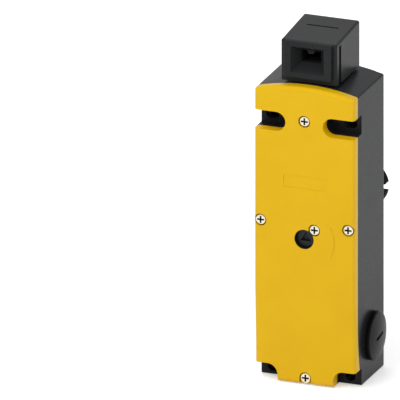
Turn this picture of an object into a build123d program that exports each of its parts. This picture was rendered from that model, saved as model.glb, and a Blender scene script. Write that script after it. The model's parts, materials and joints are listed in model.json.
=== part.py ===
from build123d import *
from math import cos, radians, sin, sqrt
import os

# Tongue interlock switch with a solenoid lock, in millimetres.
# The origin is on the rear mounting face, at its middle, at the foot of the casing.
# X runs to the right as seen from the front, Y to the rear, Z up.

# Fits
FIT = 0.02                      # between still pieces that fit each other
RUNNING_CLEARANCE = 0.06        # around what turns or slides in a bore
SLIDE_GAP = 0.15                # beside what slides on flat guides
FAR = 300.0                     # beyond the whole switch

# Casing
WIDTH = 54.0
CORNER_HEIGHT = 156.5
ARCH_RISE = 3.6
RIM_DEPTH = 38.05               # rear face to the joint between housing and cover
COVER_DEPTH = 5.4               # joint to the cover's front face
PAD_SETBACK = 5.4               # joint to the pads under the mounting screws
PAD_DEPTH = RIM_DEPTH - PAD_SETBACK
WALL = 3.0
COVER_WALL = 2.4
TOP_CORNER_RADIUS = 1.0
REAR_EDGE_RADIUS = 1.2
COVER_EDGE_RADIUS = 2.0
JOINT_STEP = 2.65               # how far the joint swings back towards the foot
JOINT_BEND_TOP = 35.0
JOINT_BEND_FOOT = 9.0
FACE_TAPER = 1.5                # how far the cover's face falls back at the foot
FACE_TAPER_TOP = 58.0
FACE_TAPER_FOOT = 6.0
GASKET_WIDTH = 1.2
GASKET_HEIGHT = 1.0
GASKET_INSET = 0.9
CROWN = CORNER_HEIGHT + ARCH_RISE
ARCH_RADIUS = ((WIDTH / 2) ** 2 + ARCH_RISE ** 2) / (2 * ARCH_RISE)
FRONT = -(RIM_DEPTH + COVER_DEPTH)

# Mounting slots and holes
MOUNT_INSET = 6.0               # side of the casing to the mounting hole's axis
MOUNT_SPACING = WIDTH - 2 * MOUNT_INSET
SLOT_DROP = 16.3                # casing's corner to the slot's middle
SLOT_Z = CORNER_HEIGHT - SLOT_DROP
SLOT_HEIGHT = 10.2
SLOT_REACH = 10.1               # middle plane to the slot's round end
FOOT_HOLE_Z = 4.05
NOTCH_REACH = 14.9
NOTCH_HEIGHT = 9.0
NOTCH_RADIUS = 5.5
MOUNT_HOLE_RADIUS = 2.65
MOUNT_SLOT_LENGTH = 7.3
BLOCK_WALL = 2.0                # wall around slots and notches inside the casing

# Cover screws, M3
SCREW_RADIUS = 1.5
SCREW_HEAD_RADIUS = 2.8
SCREW_HEAD_HEIGHT = 1.7
SCREW_HEAD_EDGE = 0.68
SCREW_SINK = 0.4
SCREW_LENGTH = 11.5
SCREW_BORE_GAP = 0.4            # head to its counterbore
COUNTERBORE_RADIUS = SCREW_HEAD_RADIUS + SCREW_BORE_GAP
CROSS_LENGTH = 3.8
CROSS_WIDTH = 0.95
CROSS_DEPTH = 1.1
BOSS_RADIUS = 3.6
TOP_SCREW_RISE = 1.6
TOP_SCREW_Z = SLOT_Z + TOP_SCREW_RISE
SIDE_SCREW_INSET = 3.4          # side of the casing to the screw's axis
SIDE_SCREW_X = WIDTH / 2 - SIDE_SCREW_INSET
FOOT_SCREW_Z = 3.3
TOP_BOSS_DEPTH = 11.0
FOOT_BOSS_DEPTH = 7.5
SEAL_SCREW_LENGTH = 7.0
SEAL_BOSS_RADIUS = 3.0
SEAL_BOSS_REACH = 3.0           # behind the joint

# Cable entries, M20
ENTRY_Y = -17.25
SIDE_ENTRY_Z = 21.6
ENTRY_RADIUS = 9.2
ENTRY_LENGTH = 8.0
ENTRY_WALL = 2.8
ENTRY_BOSS_RADIUS = ENTRY_RADIUS + ENTRY_WALL
PLUG_FLANGE_WIDTH = 3.5         # flange beyond the entry
PLUG_RIM_HEIGHT = 2.9           # casing's side to the rim
PLUG_DOME_RISE = 1.3
PLUG_EDGE_RADIUS = 0.8
PLUG_THREAD_LENGTH = 9.0
PLUG_WALL = 2.2
PLUG_CUP_DEPTH = 2.0
PLUG_SEAL_HEIGHT = 0.6
PLUG_SEAL_INSET = 0.8
PLUG_SLOT_LENGTH = 9.0
PLUG_SLOT_WIDTH = 1.6
PLUG_SLOT_DEPTH = 1.2
PLUG_SLOT_TILT = 10.0
PLUG_FLANGE_RADIUS = ENTRY_RADIUS + PLUG_FLANGE_WIDTH

# Actuator head, whose heights are counted from its underside
HEAD_SETBACK = 18.2             # joint to the axis on which the head is turned
HEAD_Y = HEAD_SETBACK - RIM_DEPTH
HEAD_GAP = 0.4                  # casing's crown to the head's underside
HEAD_UNDERSIDE = CROWN + HEAD_GAP
HEAD_HALF_WIDTH = 15.05
HEAD_FRONT = 16.8               # axis to the front of the body
HEAD_REAR = 16.6                # axis to the rear of the body
HEAD_REAR_HEIGHT = 24.4
HEAD_FRONT_HEIGHT = 21.9
HEAD_EDGE_RADIUS = 0.5
HEAD_CORNER_RADIUS = 1.0
HEAD_BROW_RADIUS = 1.2
PANEL_HALF_WIDTH = 12.75
PANEL_PROUD = 2.5
PANEL_FOOT_RISE = 2.9
PANEL_FOOT = HEAD_UNDERSIDE + PANEL_FOOT_RISE
PANEL_TOP_RISE = 19.1
PANEL_TOP = HEAD_UNDERSIDE + PANEL_TOP_RISE
PANEL_MERGE = 2.4               # how far the panel's rounded top runs back into the body
HEAD_SIDE_GROOVE_PLACE = 3.4    # behind the body's front
HEAD_SIDE_GROOVE_RISE = 20.3
HEAD_SIDE_GROOVE_TOP = HEAD_UNDERSIDE + HEAD_SIDE_GROOVE_RISE
HEAD_SIDE_GROOVE_WIDTH = 3.0
HEAD_SIDE_GROOVE_DEPTH = 0.9
FUNNEL_HALF_WIDTH = 9.0
FUNNEL_FOOT_RISE = 5.6
FUNNEL_FOOT = HEAD_UNDERSIDE + FUNNEL_FOOT_RISE
FUNNEL_TOP_RISE = 19.5
FUNNEL_TOP = HEAD_UNDERSIDE + FUNNEL_TOP_RISE
FUNNEL_DEPTH = 6.0
THROAT_HALF_WIDTH = 5.3
THROAT_HEIGHT = 6.2
THROAT_RISE = 12.9
THROAT_Z = HEAD_UNDERSIDE + THROAT_RISE
TAB_WIDTH = 4.6                 # keying tab on the throat's roof
TAB_DROP = 1.5
TAB_LENGTH = 3.3
TAB_REAR = 3.0                  # tab's rear behind the funnel
TAB_ROOT = 0.5
TOP_SLIT_LENGTH = 17.0
TOP_SLIT_WIDTH = 1.2
TOP_SLIT_DEPTH = 0.5
TOP_SLIT_OFFSET = 3.6           # behind the head's axis
NECK_RADIUS = 13.0
NECK_CLEARANCE = 0.3
NECK_SEAT_DEPTH = 2.5           # casing's crown to the neck's seat
NECK_SEAT_Z = CROWN - NECK_SEAT_DEPTH
NECK_SEAL_WIDTH = 1.6
NECK_SEAL_HEIGHT = 0.9
SPIGOT_RADIUS = 9.0
HEAD_BOSS_RADIUS = 14.5
HEAD_BOSS_LENGTH = 7.6
HEAD_BOSS_FOOT = NECK_SEAT_Z - HEAD_BOSS_LENGTH
SPIGOT_TAIL = 2.3               # spigot below the casing's boss
SPIGOT_FOOT = HEAD_BOSS_FOOT - SPIGOT_TAIL
RETAINING_RING_RADIUS = 11.5
RETAINING_RING_HEIGHT = 1.0
RETAINING_RING_GAP = 3.0
RING_GROOVE_DEPTH = 0.8

# Cam wheel and plunger
CAM_RISE = 9.0
CAM_Z = HEAD_UNDERSIDE + CAM_RISE
CAM_RADIUS = 8.5
CAM_WIDTH = 7.0
CAM_TURN = 60.0
CAM_POCKET_CLEARANCE = 0.7
PLUNGER_STROKE = 4.0
PLUNGER_RADIUS = 3.0
PLUNGER_HOLE_GAP = 0.4          # around the plunger in the head
TIP_GAP = 0.12                  # between a cam and its follower
CAM_STEPS = 6                   # points on a spiral, beside its ends
AXLE_RADIUS = 2.0
AXLE_LENGTH = 20.0
PUSH_NOTCH_HEIGHT = 4.0
PUSH_NOTCH_DEPTH = 3.6
THROAT_NOTCH_DEPTH = 4.35
BUSH_RADIUS = 5.0
COLLAR_RADIUS = 5.5
COLLAR_HEIGHT = 1.6
PLUNGER_TAIL = 2.0              # plunger below its collar
SEAT_RADIUS = 4.6
SEAT_HEIGHT = 1.2
SEAT_GAP = 0.3                  # spring seat to the spigot with the plunger up
SEAT_Z = SPIGOT_FOOT - SEAT_GAP - PLUNGER_STROKE - SEAT_HEIGHT
PLUNGER_SPRING_LENGTH = 9.6
SPRING_WIRE = 0.6
SPRING_GAP = 0.3                # around what a spring is slipped over
PLUNGER_SPRING_TURNS = 5
ARMATURE_SPRING_TURNS = 4

# Tongue contacts
BLOCK_SIDE_GAP = 3.0            # casing's wall to the contact block
BLOCK_HALF_WIDTH = WIDTH / 2 - WALL - BLOCK_SIDE_GAP
BLOCK_FRONT_REACH = 14.15
BLOCK_FRONT = HEAD_Y - BLOCK_FRONT_REACH
BLOCK_REAR_REACH = 10.85
BLOCK_REAR = HEAD_Y + BLOCK_REAR_REACH
BLOCK_EDGE_RADIUS = 1.0
BLOCK_LEG_SIZE = 4.0
BLOCK_LEG_INSET = 2.0
BLOCK_LEG_RISE = 3.0
BRIDGE_LENGTH = 22.0
BRIDGE_WIDTH = 4.0
BRIDGE_THICKNESS = 0.8
CHAMBER_END_GAP = 1.5
CHAMBER_HALF_WIDTH = BRIDGE_LENGTH / 2 + CHAMBER_END_GAP
CHAMBER_HALF_DEPTH = 5.0
CHAMBER_FLOOR = 1.5
TIP_RADIUS = 1.3
TIP_HEIGHT = 0.6
TIP_INSET = 1.6                 # bridge's end to its contact tip
TIP_REACH = BRIDGE_LENGTH / 2 - TIP_INSET
CONTACT_GAP = 0.15
STRIP_THICKNESS = 0.8
STRIP_WIDTH = 5.0
STRIP_OVERHANG = 1.9            # fixed strip beyond its tip
TAB_HALF_HEIGHT = 2.1
TAB_HALF_WIDTH = 2.2
TAB_GAP = 0.3                   # between the upper and the lower strips' tabs
CONTACT_REACH = BRIDGE_THICKNESS / 2 + 2 * TIP_HEIGHT + CONTACT_GAP + STRIP_THICKNESS / 2
BRIDGE_SPACING = PLUNGER_STROKE + 2 * CONTACT_REACH + 2 * TAB_HALF_HEIGHT + TAB_GAP
BRIDGE_LIFT = 4.4               # block's foot to the lower bridge
BLOCK_ROOF = 3.05               # highest strip to the block's top
BLOCK_TOP = SEAT_Z - PLUNGER_SPRING_LENGTH
BLOCK_FOOT = BLOCK_TOP - BLOCK_ROOF - PLUNGER_STROKE - CONTACT_REACH - BRIDGE_SPACING - BRIDGE_LIFT
BRIDGE_Z = (BLOCK_FOOT + BRIDGE_LIFT, BLOCK_FOOT + BRIDGE_LIFT + BRIDGE_SPACING)
TERMINAL_INSET = 3.4            # side of the block to the terminal's axis
TERMINAL_X = BLOCK_HALF_WIDTH - TERMINAL_INSET
TERMINAL_RADIUS = 2.0
TERMINAL_SHANK_RADIUS = 1.2
TERMINAL_HEAD_HEIGHT = 1.6
TERMINAL_LENGTH = 4.5
TERMINAL_SLOT_WIDTH = 0.6
TERMINAL_SLOT_DEPTH = 0.7

# Locking bolt, which comes to lie under the plunger's collar
PLATE_GAP = 0.6                 # contact block to the lock plate below it
PLATE_TOP = BLOCK_FOOT - PLATE_GAP
PIN_DROP = 7.3                  # lock plate's top to the carriage pin
PIN_Z = PLATE_TOP - PIN_DROP
PIN_RISE = 2.2                  # bolt's top to the pin's axis
BOLT_GAP = 0.3                  # bolt to the collar, above and below
BOLT_THICKNESS = PLUNGER_STROKE - COLLAR_HEIGHT - 2 * BOLT_GAP
BOLT_Z = PIN_Z - PIN_RISE - BOLT_THICKNESS
COLLAR_Z = BOLT_Z - BOLT_GAP - COLLAR_HEIGHT
PLUNGER_FOOT = COLLAR_Z - PLUNGER_TAIL
BOLT_WIDTH = 5.6
BOLT_TIP_X = 6.2
BOLT_TIP_RADIUS = 0.8
BOLT_LENGTH = 10.8
BOLT_TRAVEL = 3.0               # with the carriage
RELEASE_TRAVEL = 3.5            # with the release, inside the carriage
LEG_X = 12.9
LEG_THICKNESS = 2.6
LEG_WIDTH = 4.0
LEG_TAIL = 1.2                  # leg below the roller
CHEEK_THICKNESS = 1.0
CHEEK_HALF_HEIGHT = 1.2
ROLLER_RADIUS = 1.5

# Release train, on one axis through the casing
RELEASE_DROP = 13.8             # plunger's collar to the release's axis
RELEASE_Z = COLLAR_Z - RELEASE_DROP
RELEASE_HOLE_RADIUS = 5.2
RELEASE_TUBE_WALL = 1.6
RELEASE_TUBE_REACH = 1.5        # behind the joint
SPINDLE_GAP = 0.2
SPINDLE_RADIUS = RELEASE_HOLE_RADIUS - SPINDLE_GAP
SPINDLE_RECESS = 2.5
SPINDLE_HEAD_LENGTH = 5.5
SPINDLE_EDGE_RADIUS = 0.5
SPINDLE_KEY_SIDE = 5.6
SPINDLE_KEY_DEPTH = 2.0
SHAFT_RADIUS = 4.0
SHAFT_BOSS_WALL = 3.0
SHAFT_BOSS_LENGTH = 3.0         # in front of the rear wall
SHAFT_SEAL_WIDTH = 1.3
SHAFT_SEAL_LENGTH = 1.4
RELEASE_TURN = 90.0
RELEASE_ROLLER_X = 8.0          # roller's place when locked
ROLLER_X = RELEASE_ROLLER_X + BOLT_TRAVEL
RELEASE_CAM_WIDTH = 3.6
KNOB_RADIUS = 12.2
KNOB_REAR = 46.0                # the shaft passes through the wall that the switch stands on
KNOB_THICKNESS = 5.5
KNOB_FRONT = KNOB_REAR - KNOB_THICKNESS
KNOB_NOTCH_COUNT = 4
KNOB_NOTCH_WIDTH = 4.3
KNOB_NOTCH_DEPTH = 4.2
KNOB_HUB_RADIUS = 6.5
KNOB_HUB_LENGTH = 7.5
KNOB_HUB_FRONT = KNOB_FRONT - KNOB_HUB_LENGTH
KNOB_FLOOR = 2.0                # between the shaft's end and the knob screw's head
SIDE_SCREW_RISE = 7.6           # release's axis to the two side screws
SIDE_SCREW_Z = RELEASE_Z + SIDE_SCREW_RISE
SEAL_SCREW_OFFSET = 5.4         # right of and above the release's axis
SEAL_SCREW_X = SEAL_SCREW_OFFSET
SEAL_SCREW_Z = RELEASE_Z + SEAL_SCREW_OFFSET
SCREW_PLACES = ((0, TOP_SCREW_Z), (-SIDE_SCREW_X, SIDE_SCREW_Z), (SIDE_SCREW_X, SIDE_SCREW_Z), (0, FOOT_SCREW_Z))

# Carriage of the bolt, and the frame that guides it
CARRIAGE_FLOOR = 3.1            # below the bolt
CARRIAGE_ROOF = 4.1             # above the bolt
CARRIAGE_FOOT = BOLT_Z - CARRIAGE_FLOOR
CARRIAGE_TOP = BOLT_Z + BOLT_THICKNESS + CARRIAGE_ROOF
CARRIAGE_LEFT = 8.9
CARRIAGE_RIGHT = 19.6
CARRIAGE_WALL = 1.4
PIN_RADIUS = 1.5
PIN_X = 11.6
PIN_PROUD = 0.6                 # pin in front of the lock plate
PIN_SLOT_CLEARANCE = 0.12
PIN_SLOT_PLAY = 0.1
FRAME_REACH = 6.25
FRAME_FRONT = HEAD_Y + FRAME_REACH
FRAME_THICKNESS = 2.0
FRAME_REAR = FRAME_FRONT + FRAME_THICKNESS
FRAME_GAP = 0.6                 # carriage to the frame behind it
CARRIAGE_REAR = FRAME_FRONT - FRAME_GAP
FRAME_SIDE_GAP = 0.4
FRAME_RIGHT = CARRIAGE_RIGHT + FRAME_SIDE_GAP
FRAME_FOOT_DROP = 5.6
FRAME_FOOT = RELEASE_Z - FRAME_FOOT_DROP
FRAME_TOP_RISE = 4.3
FRAME_TOP = CARRIAGE_TOP + FRAME_TOP_RISE
FRAME_CORNER_RADIUS = 2.0
RAIL_HEIGHT = 1.8
RAIL_DEPTH = 4.2
STANDOFF_RADIUS = 3.2
FRAME_SCREW_TIP_GAP = 2.6       # screw's tip to the rear wall
FRAME_SCREW_LENGTH = -FRAME_FRONT - WALL - FRAME_SCREW_TIP_GAP
PAN_EDGE = 0.6

# Lock plate on the armature
LOCK_STROKE = 4.0
PLATE_REACH = 8.35
PLATE_FRONT = HEAD_Y - PLATE_REACH
PLATE_THICKNESS = 2.0
PLATE_MIDDLE = PLATE_FRONT + PLATE_THICKNESS / 2
PLATE_HALF_WIDTH = 8.2
PLATE_PIN_EDGE = 3.8
PLATE_RIGHT = PIN_X + PLATE_PIN_EDGE
PLATE_FOOT_DROP = 9.2
PLATE_FOOT = RELEASE_Z - PLATE_FOOT_DROP
PLATE_CORNER_WIDTH = 6.0        # cut from the plate's left top corner
PLATE_CORNER_HEIGHT = 10.0
PLATE_WINDOW_GAP = 0.6          # around the release shaft
PLATE_FOOT_HALF_WIDTH = 6.0
PLATE_FOOT_THICKNESS = 2.0
STUD_RADIUS = 2.5
STUD_PROUD = 0.4

# Solenoid
PLATE_LIFT = 7.4                # yoke's top to the lock plate's foot at rest
YOKE_TOP = PLATE_FOOT - PLATE_LIFT
YOKE_HEIGHT = 25.5
YOKE_FOOT = YOKE_TOP - YOKE_HEIGHT
YOKE_HALF_WIDTH = 13.0
YOKE_HALF_DEPTH = 9.0
YOKE_SHEET = 2.0
YOKE_BEND_RADIUS = 1.5
ARMATURE_RADIUS = 5.0
BOBBIN_WALL = 1.0
BOBBIN_FLANGE_RADIUS = 10.4
BOBBIN_FLANGE_HEIGHT = 1.4
WINDING_RADIUS = 9.8
CORE_HEIGHT = 9.0
CORE_GAP = 0.3                  # armature to the core with the lock plate down
CORE_FOOT = YOKE_FOOT + YOKE_SHEET
ARMATURE_FOOT = CORE_FOOT + CORE_HEIGHT + LOCK_STROKE + CORE_GAP

# Contacts that report the lock
LOCK_BLOCK_GAP = 0.6            # casing's wall to the lock contact block
LOCK_BLOCK_WIDTH = 10.0
LOCK_BLOCK_LEFT = -(WIDTH / 2 - WALL - LOCK_BLOCK_GAP)
LOCK_BLOCK_RIGHT = LOCK_BLOCK_LEFT + LOCK_BLOCK_WIDTH
LOCK_BLOCK_FRONT_REACH = 7.8
LOCK_BLOCK_FRONT = PLATE_FRONT - LOCK_BLOCK_FRONT_REACH
LOCK_BLOCK_REAR_REACH = 9.8
LOCK_BLOCK_REAR = PLATE_FRONT + LOCK_BLOCK_REAR_REACH
LOCK_BLOCK_LEG = 4.0
LOCK_BLOCK_LEG_WIDTH = 5.0
LOCK_BRIDGE_INSET = 6.5
LOCK_BRIDGE_X = LOCK_BLOCK_LEFT + LOCK_BRIDGE_INSET
LOCK_BRIDGE_RISE = 11.8
LOCK_BRIDGE_Z = RELEASE_Z + LOCK_BRIDGE_RISE
LOCK_BRIDGE_LENGTH = 11.0
LOCK_BRIDGE_WIDTH = 3.0
LOCK_TIP_INSET = 1.5
LOCK_STRIP_WIDTH = 3.6
LOCK_STRIP_OVERHANG = 1.7
LOCK_TAB_HALF_HEIGHT = 2.2
LOCK_BLOCK_FOOT_DROP = 12.4
LOCK_BLOCK_FOOT = LOCK_BRIDGE_Z - LOCK_BLOCK_FOOT_DROP
LOCK_BLOCK_TOP_RISE = 8.6
LOCK_BLOCK_TOP = LOCK_BRIDGE_Z + LOCK_BLOCK_TOP_RISE
LOCK_ROOM = 0.6                 # above and below the strips in the chamber
LOCK_CHAMBER_GAP = 0.4
LOCK_CHAMBER_LEFT = 2.4         # bridge's middle to the chamber's left side
PLATE_ARM_HEIGHT = 4.0
PLATE_ARM_END = 1.6             # arm beyond the bridge's middle
FRAME_LEFT = LOCK_BLOCK_RIGHT + FRAME_SIDE_GAP
FRAME_SCREW_LEFT_INSET = 4.0
FRAME_SCREW_TOP_INSET = 5.5
FRAME_SCREW_RIGHT_INSET = 2.8
FRAME_SCREW_FOOT_INSET = 3.5
FRAME_SCREW_PLACES = ((FRAME_LEFT + FRAME_SCREW_LEFT_INSET, FRAME_TOP - FRAME_SCREW_TOP_INSET),
                      (FRAME_RIGHT - FRAME_SCREW_RIGHT_INSET, FRAME_FOOT + FRAME_SCREW_FOOT_INSET))

# Coil terminals
COIL_BLOCK_HALF_WIDTH = 13.0
COIL_BLOCK_GAP = 1.35
COIL_BLOCK_REAR = HEAD_Y - YOKE_HALF_DEPTH - COIL_BLOCK_GAP
COIL_BLOCK_DEPTH = 6.8
COIL_BLOCK_FRONT = COIL_BLOCK_REAR - COIL_BLOCK_DEPTH
COIL_BLOCK_RISE = 7.5
COIL_BLOCK_FOOT = YOKE_FOOT + COIL_BLOCK_RISE
COIL_BLOCK_HEIGHT = 14.0
COIL_BLOCK_TOP = COIL_BLOCK_FOOT + COIL_BLOCK_HEIGHT
COIL_TERMINAL_SPACING = 8.0
COIL_TERMINAL_PLACES = (-COIL_TERMINAL_SPACING, 0, COIL_TERMINAL_SPACING)
COIL_TERMINAL_Z = COIL_BLOCK_FOOT + COIL_BLOCK_HEIGHT / 2
COIL_FOOT_INSET = 3.0
COIL_GROOVE_WIDTH = 1.0
COIL_GROOVE_DEPTH = 1.5

# Marks on the cover, left bare
PANEL_WIDTH = 22.2
PANEL_HEIGHT = 6.9
PANEL_RISE = 30.55              # release's axis to the panel's middle
PANEL_Z = RELEASE_Z + PANEL_RISE
PANEL_CORNER_RADIUS = 0.6
PANEL_SINK = 0.3
ARC_MARK_RADIUS = 16.5
ARC_MARK_WIDTH = 0.7
ARC_MARK_SINK = 0.2
ARC_MARK_HALF_ANGLE = 30.0


def on_front(sketch, y_rear, y_front):
    """Extrudes a sketch drawn as X and Z from one depth to another."""
    return extrude(Plane.XZ.offset(-y_rear) * sketch, amount=y_rear - y_front)


def on_side(sketch, x_left, x_right):
    """Extrudes a sketch drawn as Y and Z from one side to another."""
    return extrude(Plane.YZ.offset(x_left) * sketch, amount=x_right - x_left)


def block(x_range, y_range, z_range):
    """A box between three pairs of limits."""
    sizes = [high - low for low, high in (x_range, y_range, z_range)]
    place = [(high + low) / 2 for low, high in (x_range, y_range, z_range)]
    return Pos(*place) * Box(*sizes)


def around(middle, half):
    """The pair of limits at the same distance from a middle."""
    return (middle - half, middle + half)


def rod(radius, x, z, y_rear, y_front):
    """A cylinder along Y."""
    return on_front(Pos(x, z) * Circle(radius), y_rear, y_front)


def post(radius, x, y, z_foot, z_top):
    """A cylinder along Z."""
    return extrude(Pos(x, y, z_foot) * Circle(radius), amount=z_top - z_foot)


def axle(radius, y, z, x_left, x_right):
    """A cylinder along X."""
    return on_side(Pos(y, z) * Circle(radius), x_left, x_right)


def both_sides(piece):
    """The piece and its mirror image across the middle plane."""
    return piece + mirror(piece, about=Plane.YZ)


# Casing outlines, drawn as X and Z

def casing_outline(inset=0.0):
    """Front view of the casing, with its arched top."""
    half = WIDTH / 2 - inset
    arch = ARCH_RADIUS - inset
    corner = CROWN - ARCH_RADIUS + sqrt(arch ** 2 - half ** 2)
    edges = Polyline((-half, corner), (-half, inset), (half, inset), (half, corner))
    edges += ThreePointArc((half, corner), (0, CROWN - inset), (-half, corner))
    return make_face(edges)


def slot_outline(grow=0.0):
    """Slot above each mounting screw, open at the side."""
    radius = SLOT_HEIGHT / 2 + grow
    start = SLOT_REACH + SLOT_HEIGHT / 2
    bar = Pos((start + WIDTH) / 2, SLOT_Z) * Rectangle(WIDTH - start, 2 * radius)
    one = bar + Pos(start, SLOT_Z) * Circle(radius)
    return one + mirror(one, about=Plane.YZ)


def notch_outline(grow=0.0):
    """Notch above each foot hole, with a round inner corner."""
    left = NOTCH_REACH - grow
    top = NOTCH_HEIGHT + grow
    width = WIDTH - left
    corner = NOTCH_RADIUS + grow
    bar = Pos(left + width / 2, top / 2 - WIDTH / 2) * Rectangle(width, top + WIDTH)
    cut = Pos(left + corner / 2, top - corner / 2) * Rectangle(corner, corner)
    one = bar - cut + Pos(left + corner, top - corner) * Circle(corner)
    return one + mirror(one, about=Plane.YZ)


def cavity_outline():
    """Inside of the casing, which goes around the slots and the notches."""
    return casing_outline(WALL) - slot_outline(BLOCK_WALL) - notch_outline(BLOCK_WALL)


def joint_front(shift=0.0):
    """All space in front of the joint between housing and cover."""
    y_top = -RIM_DEPTH - shift
    y_foot = y_top + JOINT_STEP
    edges = Polyline((y_foot, JOINT_BEND_FOOT), (y_foot, -FAR), (-FAR, -FAR), (-FAR, FAR), (y_top, FAR),
                     (y_top, JOINT_BEND_TOP))
    edges += TangentArc((y_top, JOINT_BEND_TOP), (y_foot, JOINT_BEND_FOOT), tangent=(0, -1))
    return on_side(make_face(edges), -FAR, FAR)


def face_front(shift=0.0):
    """All space in front of the cover's face, which falls back a little at the foot."""
    y_top = FRONT - shift
    y_foot = y_top + FACE_TAPER
    edges = Polyline((y_foot, FACE_TAPER_FOOT), (y_foot, -FAR), (-FAR, -FAR), (-FAR, FAR), (y_top, FAR),
                     (y_top, FACE_TAPER_TOP))
    edges += Spline((y_top, FACE_TAPER_TOP), (y_foot, FACE_TAPER_FOOT), tangents=((0, -1), (0, -1)))
    return on_side(make_face(edges), -FAR, FAR)


def face_depth(z):
    """Depth of the cover's face at a height, on the straight part or at the foot."""
    return FRONT if z > FACE_TAPER_TOP else FRONT + FACE_TAPER


def rounded_casing():
    """Casing outline with its two top corners rounded."""
    face = casing_outline()
    corners = face.vertices().sort_by(Axis.Y)[-2:]
    return fillet(corners, TOP_CORNER_RADIUS)


def gasket_path():
    """Ring that the gasket fills, seen from the front."""
    outer = casing_outline(GASKET_INSET) - slot_outline(GASKET_INSET) - notch_outline(GASKET_INSET)
    inner_inset = GASKET_INSET + GASKET_WIDTH
    inner = casing_outline(inner_inset) - slot_outline(inner_inset) - notch_outline(inner_inset)
    return outer - inner


def gasket_space():
    """The groove in the housing's rim, and the gasket that fills it."""
    ring = on_front(gasket_path(), 0, FRONT)
    groove = (ring & joint_front(-GASKET_HEIGHT)) - joint_front()
    for x, z in SCREW_PLACES:
        groove -= rod(SCREW_RADIUS + 2 * FIT, x, z, 0, -FAR)
    return groove


# Casing

def make_housing():
    """Dark shell with mounting blocks, screw bosses and cable entries."""
    body = on_front(rounded_casing(), 0, FRONT)
    rear = body.faces().sort_by(Axis.Y)[-1]
    body = fillet(rear.edges().sort_by(Axis.Z)[1:], REAR_EDGE_RADIUS)
    body -= on_front(cavity_outline(), -WALL, FRONT)
    inside = on_front(casing_outline(WALL / 2), -WALL / 2, FRONT)
    body += housing_bosses() & inside
    body -= on_front(slot_outline() + notch_outline(), -PAD_DEPTH, -FAR)
    body -= joint_front()
    body -= gasket_space()
    for x, z in SCREW_PLACES:
        tip = face_depth(z) + SCREW_SINK + SCREW_HEAD_HEIGHT + SCREW_LENGTH
        body -= rod(SCREW_RADIUS + FIT, x, z, tip + FIT, -FAR)
    for x, z in FRAME_SCREW_PLACES:
        body -= rod(SCREW_RADIUS + FIT, x, z, -WALL, FRAME_FRONT)
    body -= axle(ENTRY_RADIUS, ENTRY_Y, SIDE_ENTRY_Z, -WIDTH, WIDTH)
    body -= post(ENTRY_RADIUS, 0, ENTRY_Y, -WALL, ENTRY_LENGTH + WALL)
    body -= post(SPIGOT_RADIUS + RUNNING_CLEARANCE, 0, HEAD_Y, HEAD_BOSS_FOOT - WALL, CROWN + WALL)
    body -= post(NECK_RADIUS + NECK_CLEARANCE, 0, HEAD_Y, NECK_SEAT_Z, CROWN + WALL)
    body -= neck_seal_ring(0.0)
    body -= rod(SHAFT_RADIUS + RUNNING_CLEARANCE, 0, RELEASE_Z, WALL, FRAME_FRONT)
    body -= shaft_seal_ring(SHAFT_RADIUS)
    half = MOUNT_SLOT_LENGTH / 2 - MOUNT_HOLE_RADIUS
    slot = Pos(MOUNT_SPACING / 2, SLOT_Z) * SlotCenterToCenter(2 * half, 2 * MOUNT_HOLE_RADIUS)
    hole = Pos(MOUNT_SPACING / 2, FOOT_HOLE_Z) * Circle(MOUNT_HOLE_RADIUS)
    return body - both_sides(on_front(slot + hole, WALL, -PAD_DEPTH - WALL))


def housing_bosses():
    """What stands inside the housing: bosses, entries, standoffs and the solenoid's shelf."""
    bosses = post(HEAD_BOSS_RADIUS, 0, HEAD_Y, HEAD_BOSS_FOOT, CROWN)
    bosses += both_sides(rod(BOSS_RADIUS, SIDE_SCREW_X, SIDE_SCREW_Z, 0, FRONT))
    bosses += block((-SLOT_REACH, SLOT_REACH), (-RIM_DEPTH, -RIM_DEPTH + TOP_BOSS_DEPTH),
                    around(TOP_SCREW_Z, BOSS_RADIUS))
    bosses += rod(BOSS_RADIUS, 0, FOOT_SCREW_Z, -RIM_DEPTH + JOINT_STEP + FOOT_BOSS_DEPTH, FRONT)
    bosses += both_sides(axle(ENTRY_BOSS_RADIUS, ENTRY_Y, SIDE_ENTRY_Z, WIDTH / 2 - ENTRY_LENGTH, WIDTH / 2))
    bosses += post(ENTRY_BOSS_RADIUS, 0, ENTRY_Y, 0, ENTRY_LENGTH)
    for x, z in FRAME_SCREW_PLACES:
        bosses += rod(STANDOFF_RADIUS, x, z, 0, FRAME_REAR)
    bosses += rod(SHAFT_RADIUS + SHAFT_BOSS_WALL, 0, RELEASE_Z, 0, -WALL - SHAFT_BOSS_LENGTH)
    shelf = block(around(0, YOKE_HALF_WIDTH), (HEAD_Y - YOKE_HALF_DEPTH, 0), (YOKE_FOOT - WALL, YOKE_FOOT))
    return bosses + shelf


def neck_seal_ring(gap):
    """Flat ring that seals the head's neck, in a groove of its seat."""
    middle = (SPIGOT_RADIUS + NECK_RADIUS) / 2
    ring = Circle(middle + NECK_SEAL_WIDTH / 2 - gap) - Circle(middle - NECK_SEAL_WIDTH / 2 + gap)
    foot = NECK_SEAT_Z + NECK_CLEARANCE / 2 - NECK_SEAL_HEIGHT
    return extrude(Pos(0, HEAD_Y, foot) * ring, amount=NECK_SEAL_HEIGHT)


def shaft_seal_ring(inner_radius):
    """Ring around the release shaft, inside the rear wall."""
    ring = Circle(SHAFT_RADIUS + SHAFT_SEAL_WIDTH) - Circle(inner_radius)
    return on_front(Pos(0, RELEASE_Z) * ring, -WALL, -WALL - SHAFT_SEAL_LENGTH)


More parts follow.
